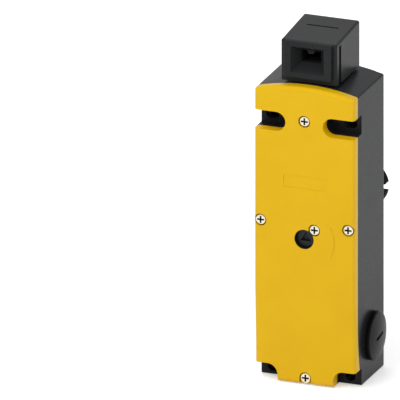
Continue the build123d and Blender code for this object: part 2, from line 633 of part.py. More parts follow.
def make_cover():
    """Yellow front cover with side slots, foot notches and the release tube."""
    shell = (on_front(rounded_casing(), 0, -FAR) & joint_front()) - face_front()
    reach = FRONT + FACE_TAPER + COVER_EDGE_RADIUS / 4
    shell = fillet(shell.edges().filter_by(lambda edge: edge.center().Y < reach), COVER_EDGE_RADIUS)
    shell -= on_front(cavity_outline(), 0, -FAR) - face_front(-COVER_WALL)
    inside = (on_front(casing_outline(WALL / 2), 0, -FAR) & joint_front()) - face_front(-COVER_WALL / 2)
    bosses = Part()
    for x, z in SCREW_PLACES:
        bosses += rod(BOSS_RADIUS, x, z, 0, -FAR)
    tube_radius = RELEASE_HOLE_RADIUS + RELEASE_TUBE_WALL
    bosses += rod(tube_radius, 0, RELEASE_Z, -RIM_DEPTH, -FAR)
    bosses += rod(SEAL_BOSS_RADIUS, SEAL_SCREW_X, SEAL_SCREW_Z, -RIM_DEPTH, -FAR)
    shell += bosses & inside
    shell += rod(tube_radius, 0, RELEASE_Z, -RIM_DEPTH + RELEASE_TUBE_REACH, -RIM_DEPTH)
    shell += rod(SEAL_BOSS_RADIUS, SEAL_SCREW_X, SEAL_SCREW_Z, -RIM_DEPTH + SEAL_BOSS_REACH, -RIM_DEPTH)
    shell -= on_front(slot_outline() + notch_outline(), 0, -FAR)
    for x, z in SCREW_PLACES:
        shell -= screw_hole(x, z, face_depth(z))
    shell -= screw_hole(SEAL_SCREW_X, SEAL_SCREW_Z, FRONT)
    shell -= block(around(0, COUNTERBORE_RADIUS), (-FAR, face_depth(0) + SCREW_SINK + SCREW_HEAD_HEIGHT),
                   (-WALL, FOOT_SCREW_Z))
    shell -= rod(RELEASE_HOLE_RADIUS, 0, RELEASE_Z, 0, -FAR)
    panel = Pos(0, PANEL_Z) * RectangleRounded(PANEL_WIDTH, PANEL_HEIGHT, PANEL_CORNER_RADIUS)
    shell -= on_front(panel, FRONT + PANEL_SINK, -FAR)
    return shell - on_front(arc_mark(), FRONT + ARC_MARK_SINK, -FAR)


def screw_hole(x, z, face):
    """Through hole and counterbore of a screw under a face."""
    hole = rod(SCREW_RADIUS + FIT, x, z, 0, -FAR)
    return hole + rod(COUNTERBORE_RADIUS, x, z, face + SCREW_SINK + SCREW_HEAD_HEIGHT, -FAR)


def arc_mark():
    """Arc to the right of the release hole."""
    ring = Circle(ARC_MARK_RADIUS + ARC_MARK_WIDTH / 2) - Circle(ARC_MARK_RADIUS - ARC_MARK_WIDTH / 2)
    reach = 2 * ARC_MARK_RADIUS
    rise = reach * sin(radians(ARC_MARK_HALF_ANGLE)) / cos(radians(ARC_MARK_HALF_ANGLE))
    wedge = make_face(Polyline((0, 0), (reach, -rise), (reach, rise), (0, 0)))
    return Pos(0, RELEASE_Z) * (ring & wedge)


def cross_recess(x, z, y_rear, y_front):
    """Cross-shaped recess of a screw head."""
    cross = Rectangle(CROSS_LENGTH, CROSS_WIDTH) + Rectangle(CROSS_WIDTH, CROSS_LENGTH)
    return on_front(Pos(x, z) * cross, y_rear, y_front)


def cross_screw(x, z, face, length):
    """Cross-recess screw whose head is sunk a little below the given face."""
    top = face + SCREW_SINK
    seat = top + SCREW_HEAD_HEIGHT
    head = rod(SCREW_HEAD_RADIUS, x, z, seat, top)
    head = fillet(head.faces().sort_by(Axis.Y)[0].edges(), SCREW_HEAD_EDGE)
    return head + rod(SCREW_RADIUS, x, z, seat + length, seat) - cross_recess(x, z, top + CROSS_DEPTH, top - WALL)


def make_cover_screws():
    """The four screws that hold the cover."""
    return [cross_screw(x, z, face_depth(z), SCREW_LENGTH) for x, z in SCREW_PLACES]


def make_seal_screw():
    """Screw whose head overlaps the edge of the release hole."""
    return cross_screw(SEAL_SCREW_X, SEAL_SCREW_Z, FRONT, SEAL_SCREW_LENGTH)


def make_plugs():
    """Blanking plugs of the two side entries: threaded cup, flange and domed face with a slot."""
    foot = WIDTH / 2 - PLUG_THREAD_LENGTH
    face = WIDTH / 2 + PLUG_SEAL_HEIGHT
    rim = WIDTH / 2 + PLUG_RIM_HEIGHT
    thread = ENTRY_RADIUS - FIT
    flange = PLUG_FLANGE_RADIUS
    dome = (flange ** 2 + PLUG_DOME_RISE ** 2) / (2 * PLUG_DOME_RISE)
    half_way = rim + PLUG_DOME_RISE - dome + sqrt(dome ** 2 - (flange / 2) ** 2)
    cup = foot + PLUG_CUP_DEPTH
    top = rim + PLUG_DOME_RISE
    profile = Polyline((0, top), (0, cup), (thread - PLUG_WALL, cup), (thread - PLUG_WALL, foot), (thread, foot),
                       (thread, face), (flange, face), (flange, rim))
    profile += ThreePointArc((flange, rim), (flange / 2, half_way), (0, top))
    turned = revolve(make_face(Plane.XZ * profile), Axis.Z)
    circles = turned.edges().filter_by(GeomType.CIRCLE).filter_by(lambda edge: abs(edge.radius - flange) < FIT)
    turned = fillet(circles.sort_by(Axis.Z)[-1], PLUG_EDGE_RADIUS)
    slot = Box(PLUG_SLOT_LENGTH, PLUG_SLOT_WIDTH, 2 * PLUG_SLOT_DEPTH)
    turned -= Pos(0, 0, top) * Rot(0, 0, 90 + PLUG_SLOT_TILT) * slot
    plug = Pos(0, ENTRY_Y, SIDE_ENTRY_Z) * Rot(0, 90, 0) * turned
    return [plug, mirror(plug, about=Plane.YZ)]


def make_plug_seals():
    """Flat rings under the plugs' flanges."""
    ring = Circle(PLUG_FLANGE_RADIUS - PLUG_SEAL_INSET) - Circle(ENTRY_RADIUS)
    seal = on_side(Pos(ENTRY_Y, SIDE_ENTRY_Z) * ring, WIDTH / 2, WIDTH / 2 + PLUG_SEAL_HEIGHT)
    return [seal, mirror(seal, about=Plane.YZ)]


# Actuator head

def head_top(y):
    """Height of the head's sloping top at a depth."""
    slope = (HEAD_REAR_HEIGHT - HEAD_FRONT_HEIGHT) / (HEAD_FRONT + HEAD_REAR)
    return HEAD_UNDERSIDE + HEAD_FRONT_HEIGHT + slope * (y - HEAD_Y + HEAD_FRONT)


def head_block():
    """The head's body, whose top falls gently from the rear to the front."""
    rear = HEAD_Y + HEAD_REAR
    front = HEAD_Y - HEAD_FRONT
    edges = Polyline((front, HEAD_UNDERSIDE), (rear, HEAD_UNDERSIDE), (rear, head_top(rear)),
                     (front, head_top(front)), (front, HEAD_UNDERSIDE))
    body = on_side(make_face(edges), -HEAD_HALF_WIDTH, HEAD_HALF_WIDTH)
    body = fillet(body.edges().filter_by(Axis.Z), HEAD_CORNER_RADIUS)
    brow = body.edges().filter_by(Axis.X).sort_by(lambda edge: edge.center().Z - edge.center().Y)[-1]
    body = fillet(brow, HEAD_BROW_RADIUS)
    groove_front = front + HEAD_SIDE_GROOVE_PLACE
    groove = block((HEAD_HALF_WIDTH - HEAD_SIDE_GROOVE_DEPTH, FAR),
                   (groove_front, groove_front + HEAD_SIDE_GROOVE_WIDTH), (0, HEAD_SIDE_GROOVE_TOP))
    return body - both_sides(groove)


def head_panel():
    """Narrower front panel, rounded at the top where it runs into the body."""
    front = HEAD_Y - HEAD_FRONT
    proud = front - PANEL_PROUD
    merge = front + PANEL_MERGE
    slope = head_top(merge + 1) - head_top(merge)
    edges = Polyline((merge, head_top(merge)), (merge, PANEL_FOOT), (proud, PANEL_FOOT), (proud, PANEL_TOP))
    edges += Spline((proud, PANEL_TOP), (merge, head_top(merge)), tangents=((0, 1), (1, slope)))
    panel = on_side(make_face(edges), -PANEL_HALF_WIDTH, PANEL_HALF_WIDTH)
    upright = panel.edges().filter_by(Axis.Z).sort_by(Axis.Y)[:2]
    return fillet(upright, HEAD_EDGE_RADIUS)


def funnel():
    """Funnel from the panel's face down to the throat, and the throat up to the cam wheel."""
    proud = HEAD_Y - HEAD_FRONT - PANEL_PROUD
    mouth = Plane((0, proud - FIT, 0), x_dir=(1, 0, 0), z_dir=(0, -1, 0))
    wide = Pos(0, (FUNNEL_FOOT + FUNNEL_TOP) / 2) * Rectangle(2 * FUNNEL_HALF_WIDTH, FUNNEL_TOP - FUNNEL_FOOT)
    narrow = Pos(0, THROAT_Z) * Rectangle(2 * THROAT_HALF_WIDTH, THROAT_HEIGHT)
    guide = loft(Sketch() + [mouth * wide, mouth.offset(-FUNNEL_DEPTH) * narrow])
    return guide + block(around(0, THROAT_HALF_WIDTH), (proud + FUNNEL_DEPTH / 2, HEAD_Y),
                         around(THROAT_Z, THROAT_HEIGHT / 2))


def ring_groove_foot():
    """Height of the groove for the retaining ring, under the casing's boss."""
    return HEAD_BOSS_FOOT - NECK_CLEARANCE - RETAINING_RING_HEIGHT


def make_head():
    """Actuator head: body with a front panel, funnel, cam pocket and round spigot."""
    body = head_block() + head_panel()
    body += post(NECK_RADIUS, 0, HEAD_Y, NECK_SEAT_Z + NECK_CLEARANCE, HEAD_UNDERSIDE)
    body += post(SPIGOT_RADIUS, 0, HEAD_Y, SPIGOT_FOOT, NECK_SEAT_Z + NECK_CLEARANCE)
    body -= funnel()
    body += throat_tab()
    pocket = around(0, CAM_WIDTH / 2 + CAM_POCKET_CLEARANCE)
    body -= axle(CAM_RADIUS + CAM_POCKET_CLEARANCE, HEAD_Y, CAM_Z, *pocket)
    body -= post(BUSH_RADIUS + FIT, 0, HEAD_Y, SPIGOT_FOOT, NECK_SEAT_Z)
    body -= post(PLUNGER_RADIUS + PLUNGER_HOLE_GAP, 0, HEAD_Y, SPIGOT_FOOT, CAM_Z)
    body -= axle(AXLE_RADIUS + FIT, HEAD_Y, CAM_Z, *around(0, AXLE_LENGTH / 2 + FIT))
    slit_y = HEAD_Y + TOP_SLIT_OFFSET
    body -= block(around(0, TOP_SLIT_LENGTH / 2), around(slit_y, TOP_SLIT_WIDTH / 2),
                  (head_top(slit_y) - TOP_SLIT_DEPTH, FAR))
    groove = Circle(SPIGOT_RADIUS + RING_GROOVE_DEPTH) - Circle(SPIGOT_RADIUS - RING_GROOVE_DEPTH)
    return body - extrude(Pos(0, HEAD_Y, ring_groove_foot()) * groove, amount=RETAINING_RING_HEIGHT)


def throat_tab():
    """Small wedge that hangs from the throat's roof and keys the tongue."""
    root = THROAT_Z + THROAT_HEIGHT / 2 + TAB_ROOT
    foot = root - TAB_ROOT - TAB_DROP
    wedge = Polyline((-TAB_WIDTH / 2, root), (TAB_WIDTH / 2, root), (TAB_WIDTH / 4, foot), (-TAB_WIDTH / 4, foot),
                     (-TAB_WIDTH / 2, root))
    rear = HEAD_Y - HEAD_FRONT - PANEL_PROUD + FUNNEL_DEPTH + TAB_REAR
    return on_front(make_face(wedge), rear, rear - TAB_LENGTH)


def make_retaining_ring():
    """Open spring ring that holds the spigot under the casing's boss."""
    ring = Circle(RETAINING_RING_RADIUS) - Circle(SPIGOT_RADIUS - RING_GROOVE_DEPTH + FIT)
    ring -= Pos(0, RETAINING_RING_RADIUS) * Rectangle(RETAINING_RING_GAP, RETAINING_RING_RADIUS)
    return extrude(Pos(0, HEAD_Y, ring_groove_foot() + FIT) * ring, amount=RETAINING_RING_HEIGHT - 2 * FIT)


def make_bush():
    """Guide bush of the plunger."""
    ring = Circle(BUSH_RADIUS) - Circle(PLUNGER_RADIUS + RUNNING_CLEARANCE)
    return extrude(Pos(0, HEAD_Y, SPIGOT_FOOT) * ring, amount=NECK_SEAT_Z - SPIGOT_FOOT - FIT)


def make_axle():
    """Pin on which the cam wheel turns."""
    return axle(AXLE_RADIUS, HEAD_Y, CAM_Z, *around(0, AXLE_LENGTH / 2))


# Cams

def spiral_cam(start_radius, end_radius, sweep, follower, first_angle):
    """Outline of a cam that moves a round follower in step with its turn.

    The follower's centre goes from start_radius to end_radius over the sweep, in degrees.
    """
    per_radian = (end_radius - start_radius) / radians(sweep)
    points = []
    for step in range(-1, CAM_STEPS + 2):
        turned = radians(sweep) * step / CAM_STEPS
        radius = start_radius + per_radian * turned
        angle = radians(first_angle) + turned
        scale = (follower + TIP_GAP) / sqrt(radius ** 2 + per_radian ** 2)
        across = radius * cos(angle) + per_radian * sin(angle)
        along = radius * sin(angle) - per_radian * cos(angle)
        points.append((radius * cos(angle) - scale * across, radius * sin(angle) - scale * along))
    return points


def make_cam_wheel():
    """Cam wheel that the tongue turns, with a spiral dip for the plunger and two push notches."""
    room = PLUNGER_RADIUS + TIP_GAP
    start = CAM_RADIUS + room
    dip = spiral_cam(start, start - PLUNGER_STROKE, CAM_TURN, PLUNGER_RADIUS, -90)[:-1]
    edges = Spline(*dip)
    edges += Polyline(dip[-1], (2 * start, dip[-1][1]), (2 * start, -2 * start), (dip[0][0], -2 * start), dip[0])
    wheel = Circle(CAM_RADIUS) - make_face(edges)
    seat = Pos(start - PLUNGER_STROKE, 0) * Circle(room)
    seat += Pos(2 * start - PLUNGER_STROKE, 0) * Rectangle(2 * start, 2 * room)
    wheel -= Rot(0, 0, CAM_TURN - 90) * seat
    wheel -= Pos(-CAM_RADIUS, THROAT_Z - CAM_Z) * Rectangle(2 * THROAT_NOTCH_DEPTH, PUSH_NOTCH_HEIGHT)
    wheel -= Pos(TOP_SLIT_OFFSET, CAM_RADIUS) * Rectangle(PUSH_NOTCH_HEIGHT, 2 * PUSH_NOTCH_DEPTH)
    wheel -= Circle(AXLE_RADIUS + RUNNING_CLEARANCE)
    return on_side(Pos(HEAD_Y, CAM_Z) * wheel, -CAM_WIDTH / 2, CAM_WIDTH / 2)


# Plunger and tongue contacts

def make_plunger():
    """Rod from the cam wheel down to the locking collar."""
    tip_centre = CAM_Z - CAM_RADIUS - TIP_GAP - PLUNGER_RADIUS
    rod_body = post(PLUNGER_RADIUS, 0, HEAD_Y, PLUNGER_FOOT, tip_centre)
    rod_body += Pos(0, HEAD_Y, tip_centre) * Sphere(PLUNGER_RADIUS)
    rod_body += post(COLLAR_RADIUS, 0, HEAD_Y, COLLAR_Z, COLLAR_Z + COLLAR_HEIGHT)
    rod_body += post(SEAT_RADIUS, 0, HEAD_Y, SEAT_Z, SEAT_Z + SEAT_HEIGHT)
    for z in BRIDGE_Z:
        rod_body -= block(around(0, PLUNGER_RADIUS), around(HEAD_Y, BRIDGE_WIDTH / 2 + FIT),
                          around(z, BRIDGE_THICKNESS / 2 + FIT))
    return rod_body


def bridge_tip(x, y, z):
    """Contact tips on both faces of a moving bridge."""
    half = BRIDGE_THICKNESS / 2 + TIP_HEIGHT
    return post(TIP_RADIUS, x, y, z - half, z + half)


def fixed_tip(x, y, z, facing):
    """Contact tip on the face of a fixed strip that looks to the bridge."""
    far = z + facing * (STRIP_THICKNESS / 2 + TIP_HEIGHT)
    return post(TIP_RADIUS, x, y, min(z, far), max(z, far))


def make_bridges():
    """Moving bridges through the plunger, with a contact tip on each face at each end."""
    pieces = []
    for z in BRIDGE_Z:
        strip = block(around(0, BRIDGE_LENGTH / 2), around(HEAD_Y, BRIDGE_WIDTH / 2),
                      around(z, BRIDGE_THICKNESS / 2))
        pieces.append(strip + both_sides(bridge_tip(TIP_REACH, HEAD_Y, z)))
    return pieces


def fixed_levels():
    """Height and facing of each fixed strip: its middle, and +1 where its tip points up."""
    levels = []
    for z in BRIDGE_Z:
        levels.append((z - CONTACT_REACH, 1))
        levels.append((z + CONTACT_REACH + PLUNGER_STROKE, -1))
    return levels


def terminal_hole(x, z, face):
    """Hole for a terminal screw, through its strip or block."""
    return rod(TERMINAL_SHANK_RADIUS + FIT, x, z, face + TERMINAL_LENGTH + FIT, face - WALL)


def make_fixed_contacts():
    """Fixed strips that run from the chamber out to the terminals at the front."""
    pieces = []
    tab = around(TERMINAL_X, TAB_HALF_WIDTH)
    tab_front = BLOCK_FRONT - STRIP_THICKNESS
    for z, facing in fixed_levels():
        layer = around(z, STRIP_THICKNESS / 2)
        strip = block((TIP_REACH - STRIP_OVERHANG, tab[1]), around(HEAD_Y, STRIP_WIDTH / 2), layer)
        strip += block(tab, (tab_front, HEAD_Y), layer)
        strip += block(tab, (tab_front, BLOCK_FRONT), around(z, TAB_HALF_HEIGHT))
        strip += fixed_tip(TIP_REACH, HEAD_Y, z, facing)
        strip -= terminal_hole(TERMINAL_X, z, BLOCK_FRONT)
        pieces += [strip, mirror(strip, about=Plane.YZ)]
    return pieces


def make_contact_block():
    """Insulating base of the tongue contacts, with a chamber around the plunger."""
    base = block(around(0, BLOCK_HALF_WIDTH), (BLOCK_FRONT, BLOCK_REAR), (BLOCK_FOOT, BLOCK_TOP))
    base = fillet(base.edges().filter_by(Axis.Y), BLOCK_EDGE_RADIUS)
    right = BLOCK_HALF_WIDTH - BLOCK_LEG_INSET
    for z in (BLOCK_FOOT + BLOCK_LEG_RISE, BLOCK_TOP - BLOCK_LEG_RISE - BLOCK_LEG_SIZE):
        leg = block((right - BLOCK_LEG_SIZE, right), (BLOCK_REAR, -WALL), (z, z + BLOCK_LEG_SIZE))
        base += both_sides(leg)
    base -= block(around(0, CHAMBER_HALF_WIDTH), around(HEAD_Y, CHAMBER_HALF_DEPTH),
                  (BLOCK_FOOT + CHAMBER_FLOOR, BLOCK_TOP - CHAMBER_FLOOR))
    base -= post(PLUNGER_RADIUS + RUNNING_CLEARANCE, 0, HEAD_Y, BLOCK_FOOT, BLOCK_TOP)
    for z, _ in fixed_levels():
        layer = around(z, STRIP_THICKNESS / 2 + FIT)
        slots = block((TIP_REACH, TERMINAL_X + TAB_HALF_WIDTH + FIT), around(HEAD_Y, STRIP_WIDTH / 2 + FIT),
                      layer)
        slots += block(around(TERMINAL_X, TAB_HALF_WIDTH + FIT), (BLOCK_FRONT, HEAD_Y), layer)
        base -= both_sides(slots + terminal_hole(TERMINAL_X, z, BLOCK_FRONT))
    return base


def terminal_screw(x, z, face):
    """Slotted terminal screw on a face that looks to the front."""
    top = face - TERMINAL_HEAD_HEIGHT
    head = rod(TERMINAL_RADIUS, x, z, face, top)
    head -= block(around(x, TERMINAL_RADIUS), around(top, TERMINAL_SLOT_DEPTH),
                  around(z, TERMINAL_SLOT_WIDTH / 2))
    return head + rod(TERMINAL_SHANK_RADIUS, x, z, face + TERMINAL_LENGTH, face)


def make_terminal_screws():
    """All terminal screws: tongue contacts, lock contacts and coil."""
    screws = []
    for z, _ in fixed_levels():
        screws += [terminal_screw(side * TERMINAL_X, z, BLOCK_FRONT - STRIP_THICKNESS) for side in (-1, 1)]
    for z, _ in lock_levels():
        screws.append(terminal_screw(LOCK_BRIDGE_X, z, LOCK_BLOCK_FRONT - STRIP_THICKNESS))
    for x in COIL_TERMINAL_PLACES:
        screws.append(terminal_screw(x, COIL_TERMINAL_Z, COIL_BLOCK_FRONT))
    return screws


def coil_spring(inner_radius, z_foot, z_top, turns):
    """Compression spring around the head's axis."""
    radius = inner_radius + SPRING_WIRE / 2
    height = z_top - z_foot - SPRING_WIRE
    path = Helix(pitch=height / turns, height=height, radius=radius)
    profile = Plane(origin=path @ 0, z_dir=path % 0) * Circle(SPRING_WIRE / 2)
    return Pos(0, HEAD_Y, z_foot + SPRING_WIRE / 2) * sweep(profile, path=path, is_frenet=True)


def make_plunger_spring():
    """Spring that lifts the plunger, between the contact block and the plunger's seat."""
    return coil_spring(PLUNGER_RADIUS + SPRING_GAP, BLOCK_TOP + FIT, SEAT_Z - FIT, PLUNGER_SPRING_TURNS)


# Lock

def make_mechanism_frame():
    """Plate behind the lock, with the two rails of the carriage."""
    plate = block((FRAME_LEFT, FRAME_RIGHT), (FRAME_FRONT, FRAME_REAR), (FRAME_FOOT, FRAME_TOP))
    plate = fillet(plate.edges().filter_by(Axis.Y), FRAME_CORNER_RADIUS)
    rail = ((CARRIAGE_LEFT - BOLT_TRAVEL, FRAME_RIGHT), (FRAME_FRONT - RAIL_DEPTH, FRAME_FRONT))
    foot = CARRIAGE_FOOT - SLIDE_GAP
    top = CARRIAGE_TOP + SLIDE_GAP
    plate += block(*rail, (foot - RAIL_HEIGHT, foot))
    plate += block(*rail, (top, top + RAIL_HEIGHT))
    left = LEG_X - BOLT_TRAVEL - 2 * SLIDE_GAP
    right = LEG_X + LEG_THICKNESS + RELEASE_TRAVEL + 2 * SLIDE_GAP
    plate -= block((left, right), around(HEAD_Y, LEG_WIDTH / 2 + 2 * SLIDE_GAP),
                   (foot - RAIL_HEIGHT, CARRIAGE_FOOT))
    plate -= rod(SHAFT_RADIUS + RUNNING_CLEARANCE, 0, RELEASE_Z, 0, FRONT)
    for x, z in FRAME_SCREW_PLACES:
        plate -= rod(SCREW_RADIUS + FIT, x, z, FRAME_REAR, FRAME_FRONT)
    return plate


def pan_head(x, z, y_seat, y_top):
    """Pan head of a screw between its seat and its top, which may look to either side."""
    head = rod(SCREW_HEAD_RADIUS, x, z, max(y_seat, y_top), min(y_seat, y_top))
    rim = head.faces().sort_by(lambda face: abs(face.center().Y - y_top))[0].edges()
    return fillet(rim, PAN_EDGE)


def make_frame_screws():
    """Pan-head screws that hold the mechanism frame."""
    screws = []
    for x, z in FRAME_SCREW_PLACES:
        head = pan_head(x, z, FRAME_FRONT, FRAME_FRONT - SCREW_HEAD_HEIGHT)
        screws.append(head + rod(SCREW_RADIUS, x, z, FRAME_FRONT + FRAME_SCREW_LENGTH, FRAME_FRONT))
    return screws


def make_carriage():
    """Slider that holds the bolt and runs between the rails."""
    half = BOLT_WIDTH / 2 + SLIDE_GAP
    front = HEAD_Y - half - CARRIAGE_WALL
    body = block((CARRIAGE_LEFT, CARRIAGE_RIGHT), (front, CARRIAGE_REAR), (CARRIAGE_FOOT, CARRIAGE_TOP))
    body -= block((CARRIAGE_LEFT, CARRIAGE_RIGHT), around(HEAD_Y, half),
                  (BOLT_Z - SLIDE_GAP, BOLT_Z + BOLT_THICKNESS + SLIDE_GAP))
    right = LEG_X + LEG_THICKNESS + RELEASE_TRAVEL + SLIDE_GAP
    body -= block((LEG_X - SLIDE_GAP, right), (front, HEAD_Y + half), (CARRIAGE_FOOT, BOLT_Z))
    return body - rod(PIN_RADIUS + FIT, PIN_X, PIN_Z, HEAD_Y, front)


def make_carriage_pin():
    """Pin from the carriage into the slanting slot of the lock plate."""
    return rod(PIN_RADIUS, PIN_X, PIN_Z, HEAD_Y - FIT, PLATE_FRONT - PIN_PROUD)


def make_bolt():
    """Locking bolt with the leg that the release cam pushes."""
    top = BOLT_Z + BOLT_THICKNESS
    bar = block((BOLT_TIP_X, BOLT_TIP_X + BOLT_LENGTH), around(HEAD_Y, BOLT_WIDTH / 2), (BOLT_Z, top))
    bar = fillet(bar.edges().filter_by(Axis.Z).sort_by(Axis.X)[:2], BOLT_TIP_RADIUS)
    leg_foot = RELEASE_Z - ROLLER_RADIUS - LEG_TAIL
    leg = block((LEG_X, LEG_X + LEG_THICKNESS), around(HEAD_Y, LEG_WIDTH / 2), (leg_foot, top))
    cheek_front = HEAD_Y - LEG_WIDTH / 2
    cheek_rear = cheek_front + CHEEK_THICKNESS
    cheek = block((ROLLER_X, LEG_X), (cheek_front, cheek_rear), around(RELEASE_Z, CHEEK_HALF_HEIGHT))
    cheek += rod(CHEEK_HALF_HEIGHT, ROLLER_X, RELEASE_Z, cheek_rear, cheek_front)
    return bar + leg + cheek


def make_roller():
    """Roller at the foot of the bolt's leg, on the release cam."""
    front = HEAD_Y - LEG_WIDTH / 2 + CHEEK_THICKNESS
    return rod(ROLLER_RADIUS, ROLLER_X, RELEASE_Z, HEAD_Y + LEG_WIDTH / 2, front)


def plate_outline():
    """Front view of the lock plate."""
    left = -PLATE_HALF_WIDTH
    width = PLATE_RIGHT - left
    height = PLATE_TOP - PLATE_FOOT
    outline = Pos(left + width / 2, PLATE_FOOT + height / 2) * Rectangle(width, height)
    outline -= Pos(left, PLATE_TOP) * Rectangle(2 * PLATE_CORNER_WIDTH, 2 * PLATE_CORNER_HEIGHT)
    window = 2 * (SHAFT_RADIUS + PLATE_WINDOW_GAP)
    outline -= Pos(0, RELEASE_Z + LOCK_STROKE / 2) * Rectangle(window, window + LOCK_STROKE)
    arm_left = LOCK_BRIDGE_X - PLATE_ARM_END
    outline += Pos((arm_left + left) / 2, LOCK_BRIDGE_Z) * Rectangle(left - arm_left, PLATE_ARM_HEIGHT)
    travel = Vector(LOCK_STROKE, BOLT_TRAVEL)
    slot = SlotCenterToCenter(travel.length + PIN_SLOT_PLAY, 2 * (PIN_RADIUS + PIN_SLOT_CLEARANCE))
    tilt = Rot(0, 0, 90 + travel.get_angle(Vector(1, 0)))
    return outline - Pos(PIN_X - BOLT_TRAVEL / 2, PIN_Z + LOCK_STROKE / 2) * (tilt * slot)


def make_lock_plate():
    """Plate on the armature: window for the shaft, slanting slot for the carriage pin, arm for the bridge."""
    rear = PLATE_FRONT + PLATE_THICKNESS
    plate = on_front(plate_outline(), rear, PLATE_FRONT)
    foot_top = PLATE_FOOT + PLATE_FOOT_THICKNESS
    plate += block(around(0, PLATE_FOOT_HALF_WIDTH), (PLATE_FRONT, HEAD_Y + PLATE_FOOT_HALF_WIDTH),
                   (PLATE_FOOT, foot_top))
    plate -= post(STUD_RADIUS + FIT, 0, HEAD_Y, PLATE_FOOT, foot_top)
    return plate - block(around(LOCK_BRIDGE_X, LOCK_BRIDGE_WIDTH / 2 + FIT), (PLATE_FRONT, rear),
                         around(LOCK_BRIDGE_Z, BRIDGE_THICKNESS / 2 + FIT))


def make_armature():
    """Round armature with the stud that carries the lock plate."""
    body = post(ARMATURE_RADIUS, 0, HEAD_Y, ARMATURE_FOOT, PLATE_FOOT)
    return body + post(STUD_RADIUS, 0, HEAD_Y, PLATE_FOOT, PLATE_FOOT + PLATE_FOOT_THICKNESS + STUD_PROUD)


def make_lock_bridge():
    """Moving bridge on the plate's arm."""
    strip = block(around(LOCK_BRIDGE_X, LOCK_BRIDGE_WIDTH / 2), around(PLATE_MIDDLE, LOCK_BRIDGE_LENGTH / 2),
                  around(LOCK_BRIDGE_Z, BRIDGE_THICKNESS / 2))
    for y in around(PLATE_MIDDLE, LOCK_BRIDGE_LENGTH / 2 - LOCK_TIP_INSET):
        strip += bridge_tip(LOCK_BRIDGE_X, y, LOCK_BRIDGE_Z)
    return strip


def lock_levels():
    """Height and facing of the fixed strips above and below the lock bridge."""
    return [(LOCK_BRIDGE_Z + CONTACT_REACH, -1), (LOCK_BRIDGE_Z - CONTACT_REACH - LOCK_STROKE, 1)]


def make_lock_fixed_contacts():
    """Fixed strips of the lock contacts, one above and one below the bridge."""
    pieces = []
    tip_y = PLATE_MIDDLE - LOCK_BRIDGE_LENGTH / 2 + LOCK_TIP_INSET
    tab_front = LOCK_BLOCK_FRONT - STRIP_THICKNESS
    across = around(LOCK_BRIDGE_X, LOCK_STRIP_WIDTH / 2)
    for z, facing in lock_levels():
        strip = block(across, (tab_front, tip_y + LOCK_STRIP_OVERHANG), around(z, STRIP_THICKNESS / 2))
        strip += block(across, (tab_front, LOCK_BLOCK_FRONT), around(z, LOCK_TAB_HALF_HEIGHT))
        strip += fixed_tip(LOCK_BRIDGE_X, tip_y, z, facing)
        pieces.append(strip - terminal_hole(LOCK_BRIDGE_X, z, LOCK_BLOCK_FRONT))
    return pieces


def make_lock_contact_block():
    """Insulating base of the lock contacts, open on the right for the plate's arm."""
    base = block((LOCK_BLOCK_LEFT, LOCK_BLOCK_RIGHT), (LOCK_BLOCK_FRONT, LOCK_BLOCK_REAR),
                 (LOCK_BLOCK_FOOT, LOCK_BLOCK_TOP))
    for z in (LOCK_BLOCK_FOOT, LOCK_BLOCK_TOP - LOCK_BLOCK_LEG):
        base += block((LOCK_BLOCK_RIGHT - LOCK_BLOCK_LEG_WIDTH, LOCK_BLOCK_RIGHT), (LOCK_BLOCK_REAR, -WALL),
                      (z, z + LOCK_BLOCK_LEG))
    base -= rod(BOSS_RADIUS + FIT, -SIDE_SCREW_X, SIDE_SCREW_Z, 0, FRONT)
    levels = [z for z, _ in lock_levels()]
    base -= block((LOCK_BRIDGE_X - LOCK_CHAMBER_LEFT, LOCK_BLOCK_RIGHT),
                  around(PLATE_MIDDLE, LOCK_BRIDGE_LENGTH / 2 + LOCK_CHAMBER_GAP),
                  (min(levels) - LOCK_ROOM, max(levels) + LOCK_ROOM))
    for z in levels:
        base -= block(around(LOCK_BRIDGE_X, LOCK_STRIP_WIDTH / 2 + FIT), (LOCK_BLOCK_FRONT, PLATE_MIDDLE),
                      around(z, STRIP_THICKNESS / 2 + FIT))
        base -= terminal_hole(LOCK_BRIDGE_X, z, LOCK_BLOCK_FRONT)
    return base


# Solenoid

def make_yoke():
    """Steel yoke: a bent strip with a plate across its top."""
    depth = around(HEAD_Y, YOKE_HALF_DEPTH)
    yoke = block(around(0, YOKE_HALF_WIDTH), depth, (YOKE_FOOT, YOKE_TOP))
    yoke = fillet(yoke.edges().filter_by(Axis.Y), YOKE_BEND_RADIUS)
    yoke -= block(around(0, YOKE_HALF_WIDTH - YOKE_SHEET), depth, (YOKE_FOOT + YOKE_SHEET, YOKE_TOP - YOKE_SHEET))
    return yoke - post(ARMATURE_RADIUS + BOBBIN_WALL + FIT, 0, HEAD_Y, YOKE_TOP - YOKE_SHEET, YOKE_TOP)


def make_core():
    """Fixed iron core at the foot of the coil."""
    return post(ARMATURE_RADIUS, 0, HEAD_Y, CORE_FOOT, CORE_FOOT + CORE_HEIGHT)


def make_bobbin():
    """Bobbin with two flanges; its tube passes through the yoke's top plate."""
    flange_top = YOKE_TOP - YOKE_SHEET
    tube = post(ARMATURE_RADIUS + BOBBIN_WALL, 0, HEAD_Y, CORE_FOOT, YOKE_TOP)
    tube += post(BOBBIN_FLANGE_RADIUS, 0, HEAD_Y, CORE_FOOT, CORE_FOOT + BOBBIN_FLANGE_HEIGHT)
    tube += post(BOBBIN_FLANGE_RADIUS, 0, HEAD_Y, flange_top - BOBBIN_FLANGE_HEIGHT, flange_top)
    return tube - post(ARMATURE_RADIUS + RUNNING_CLEARANCE, 0, HEAD_Y, CORE_FOOT, YOKE_TOP)


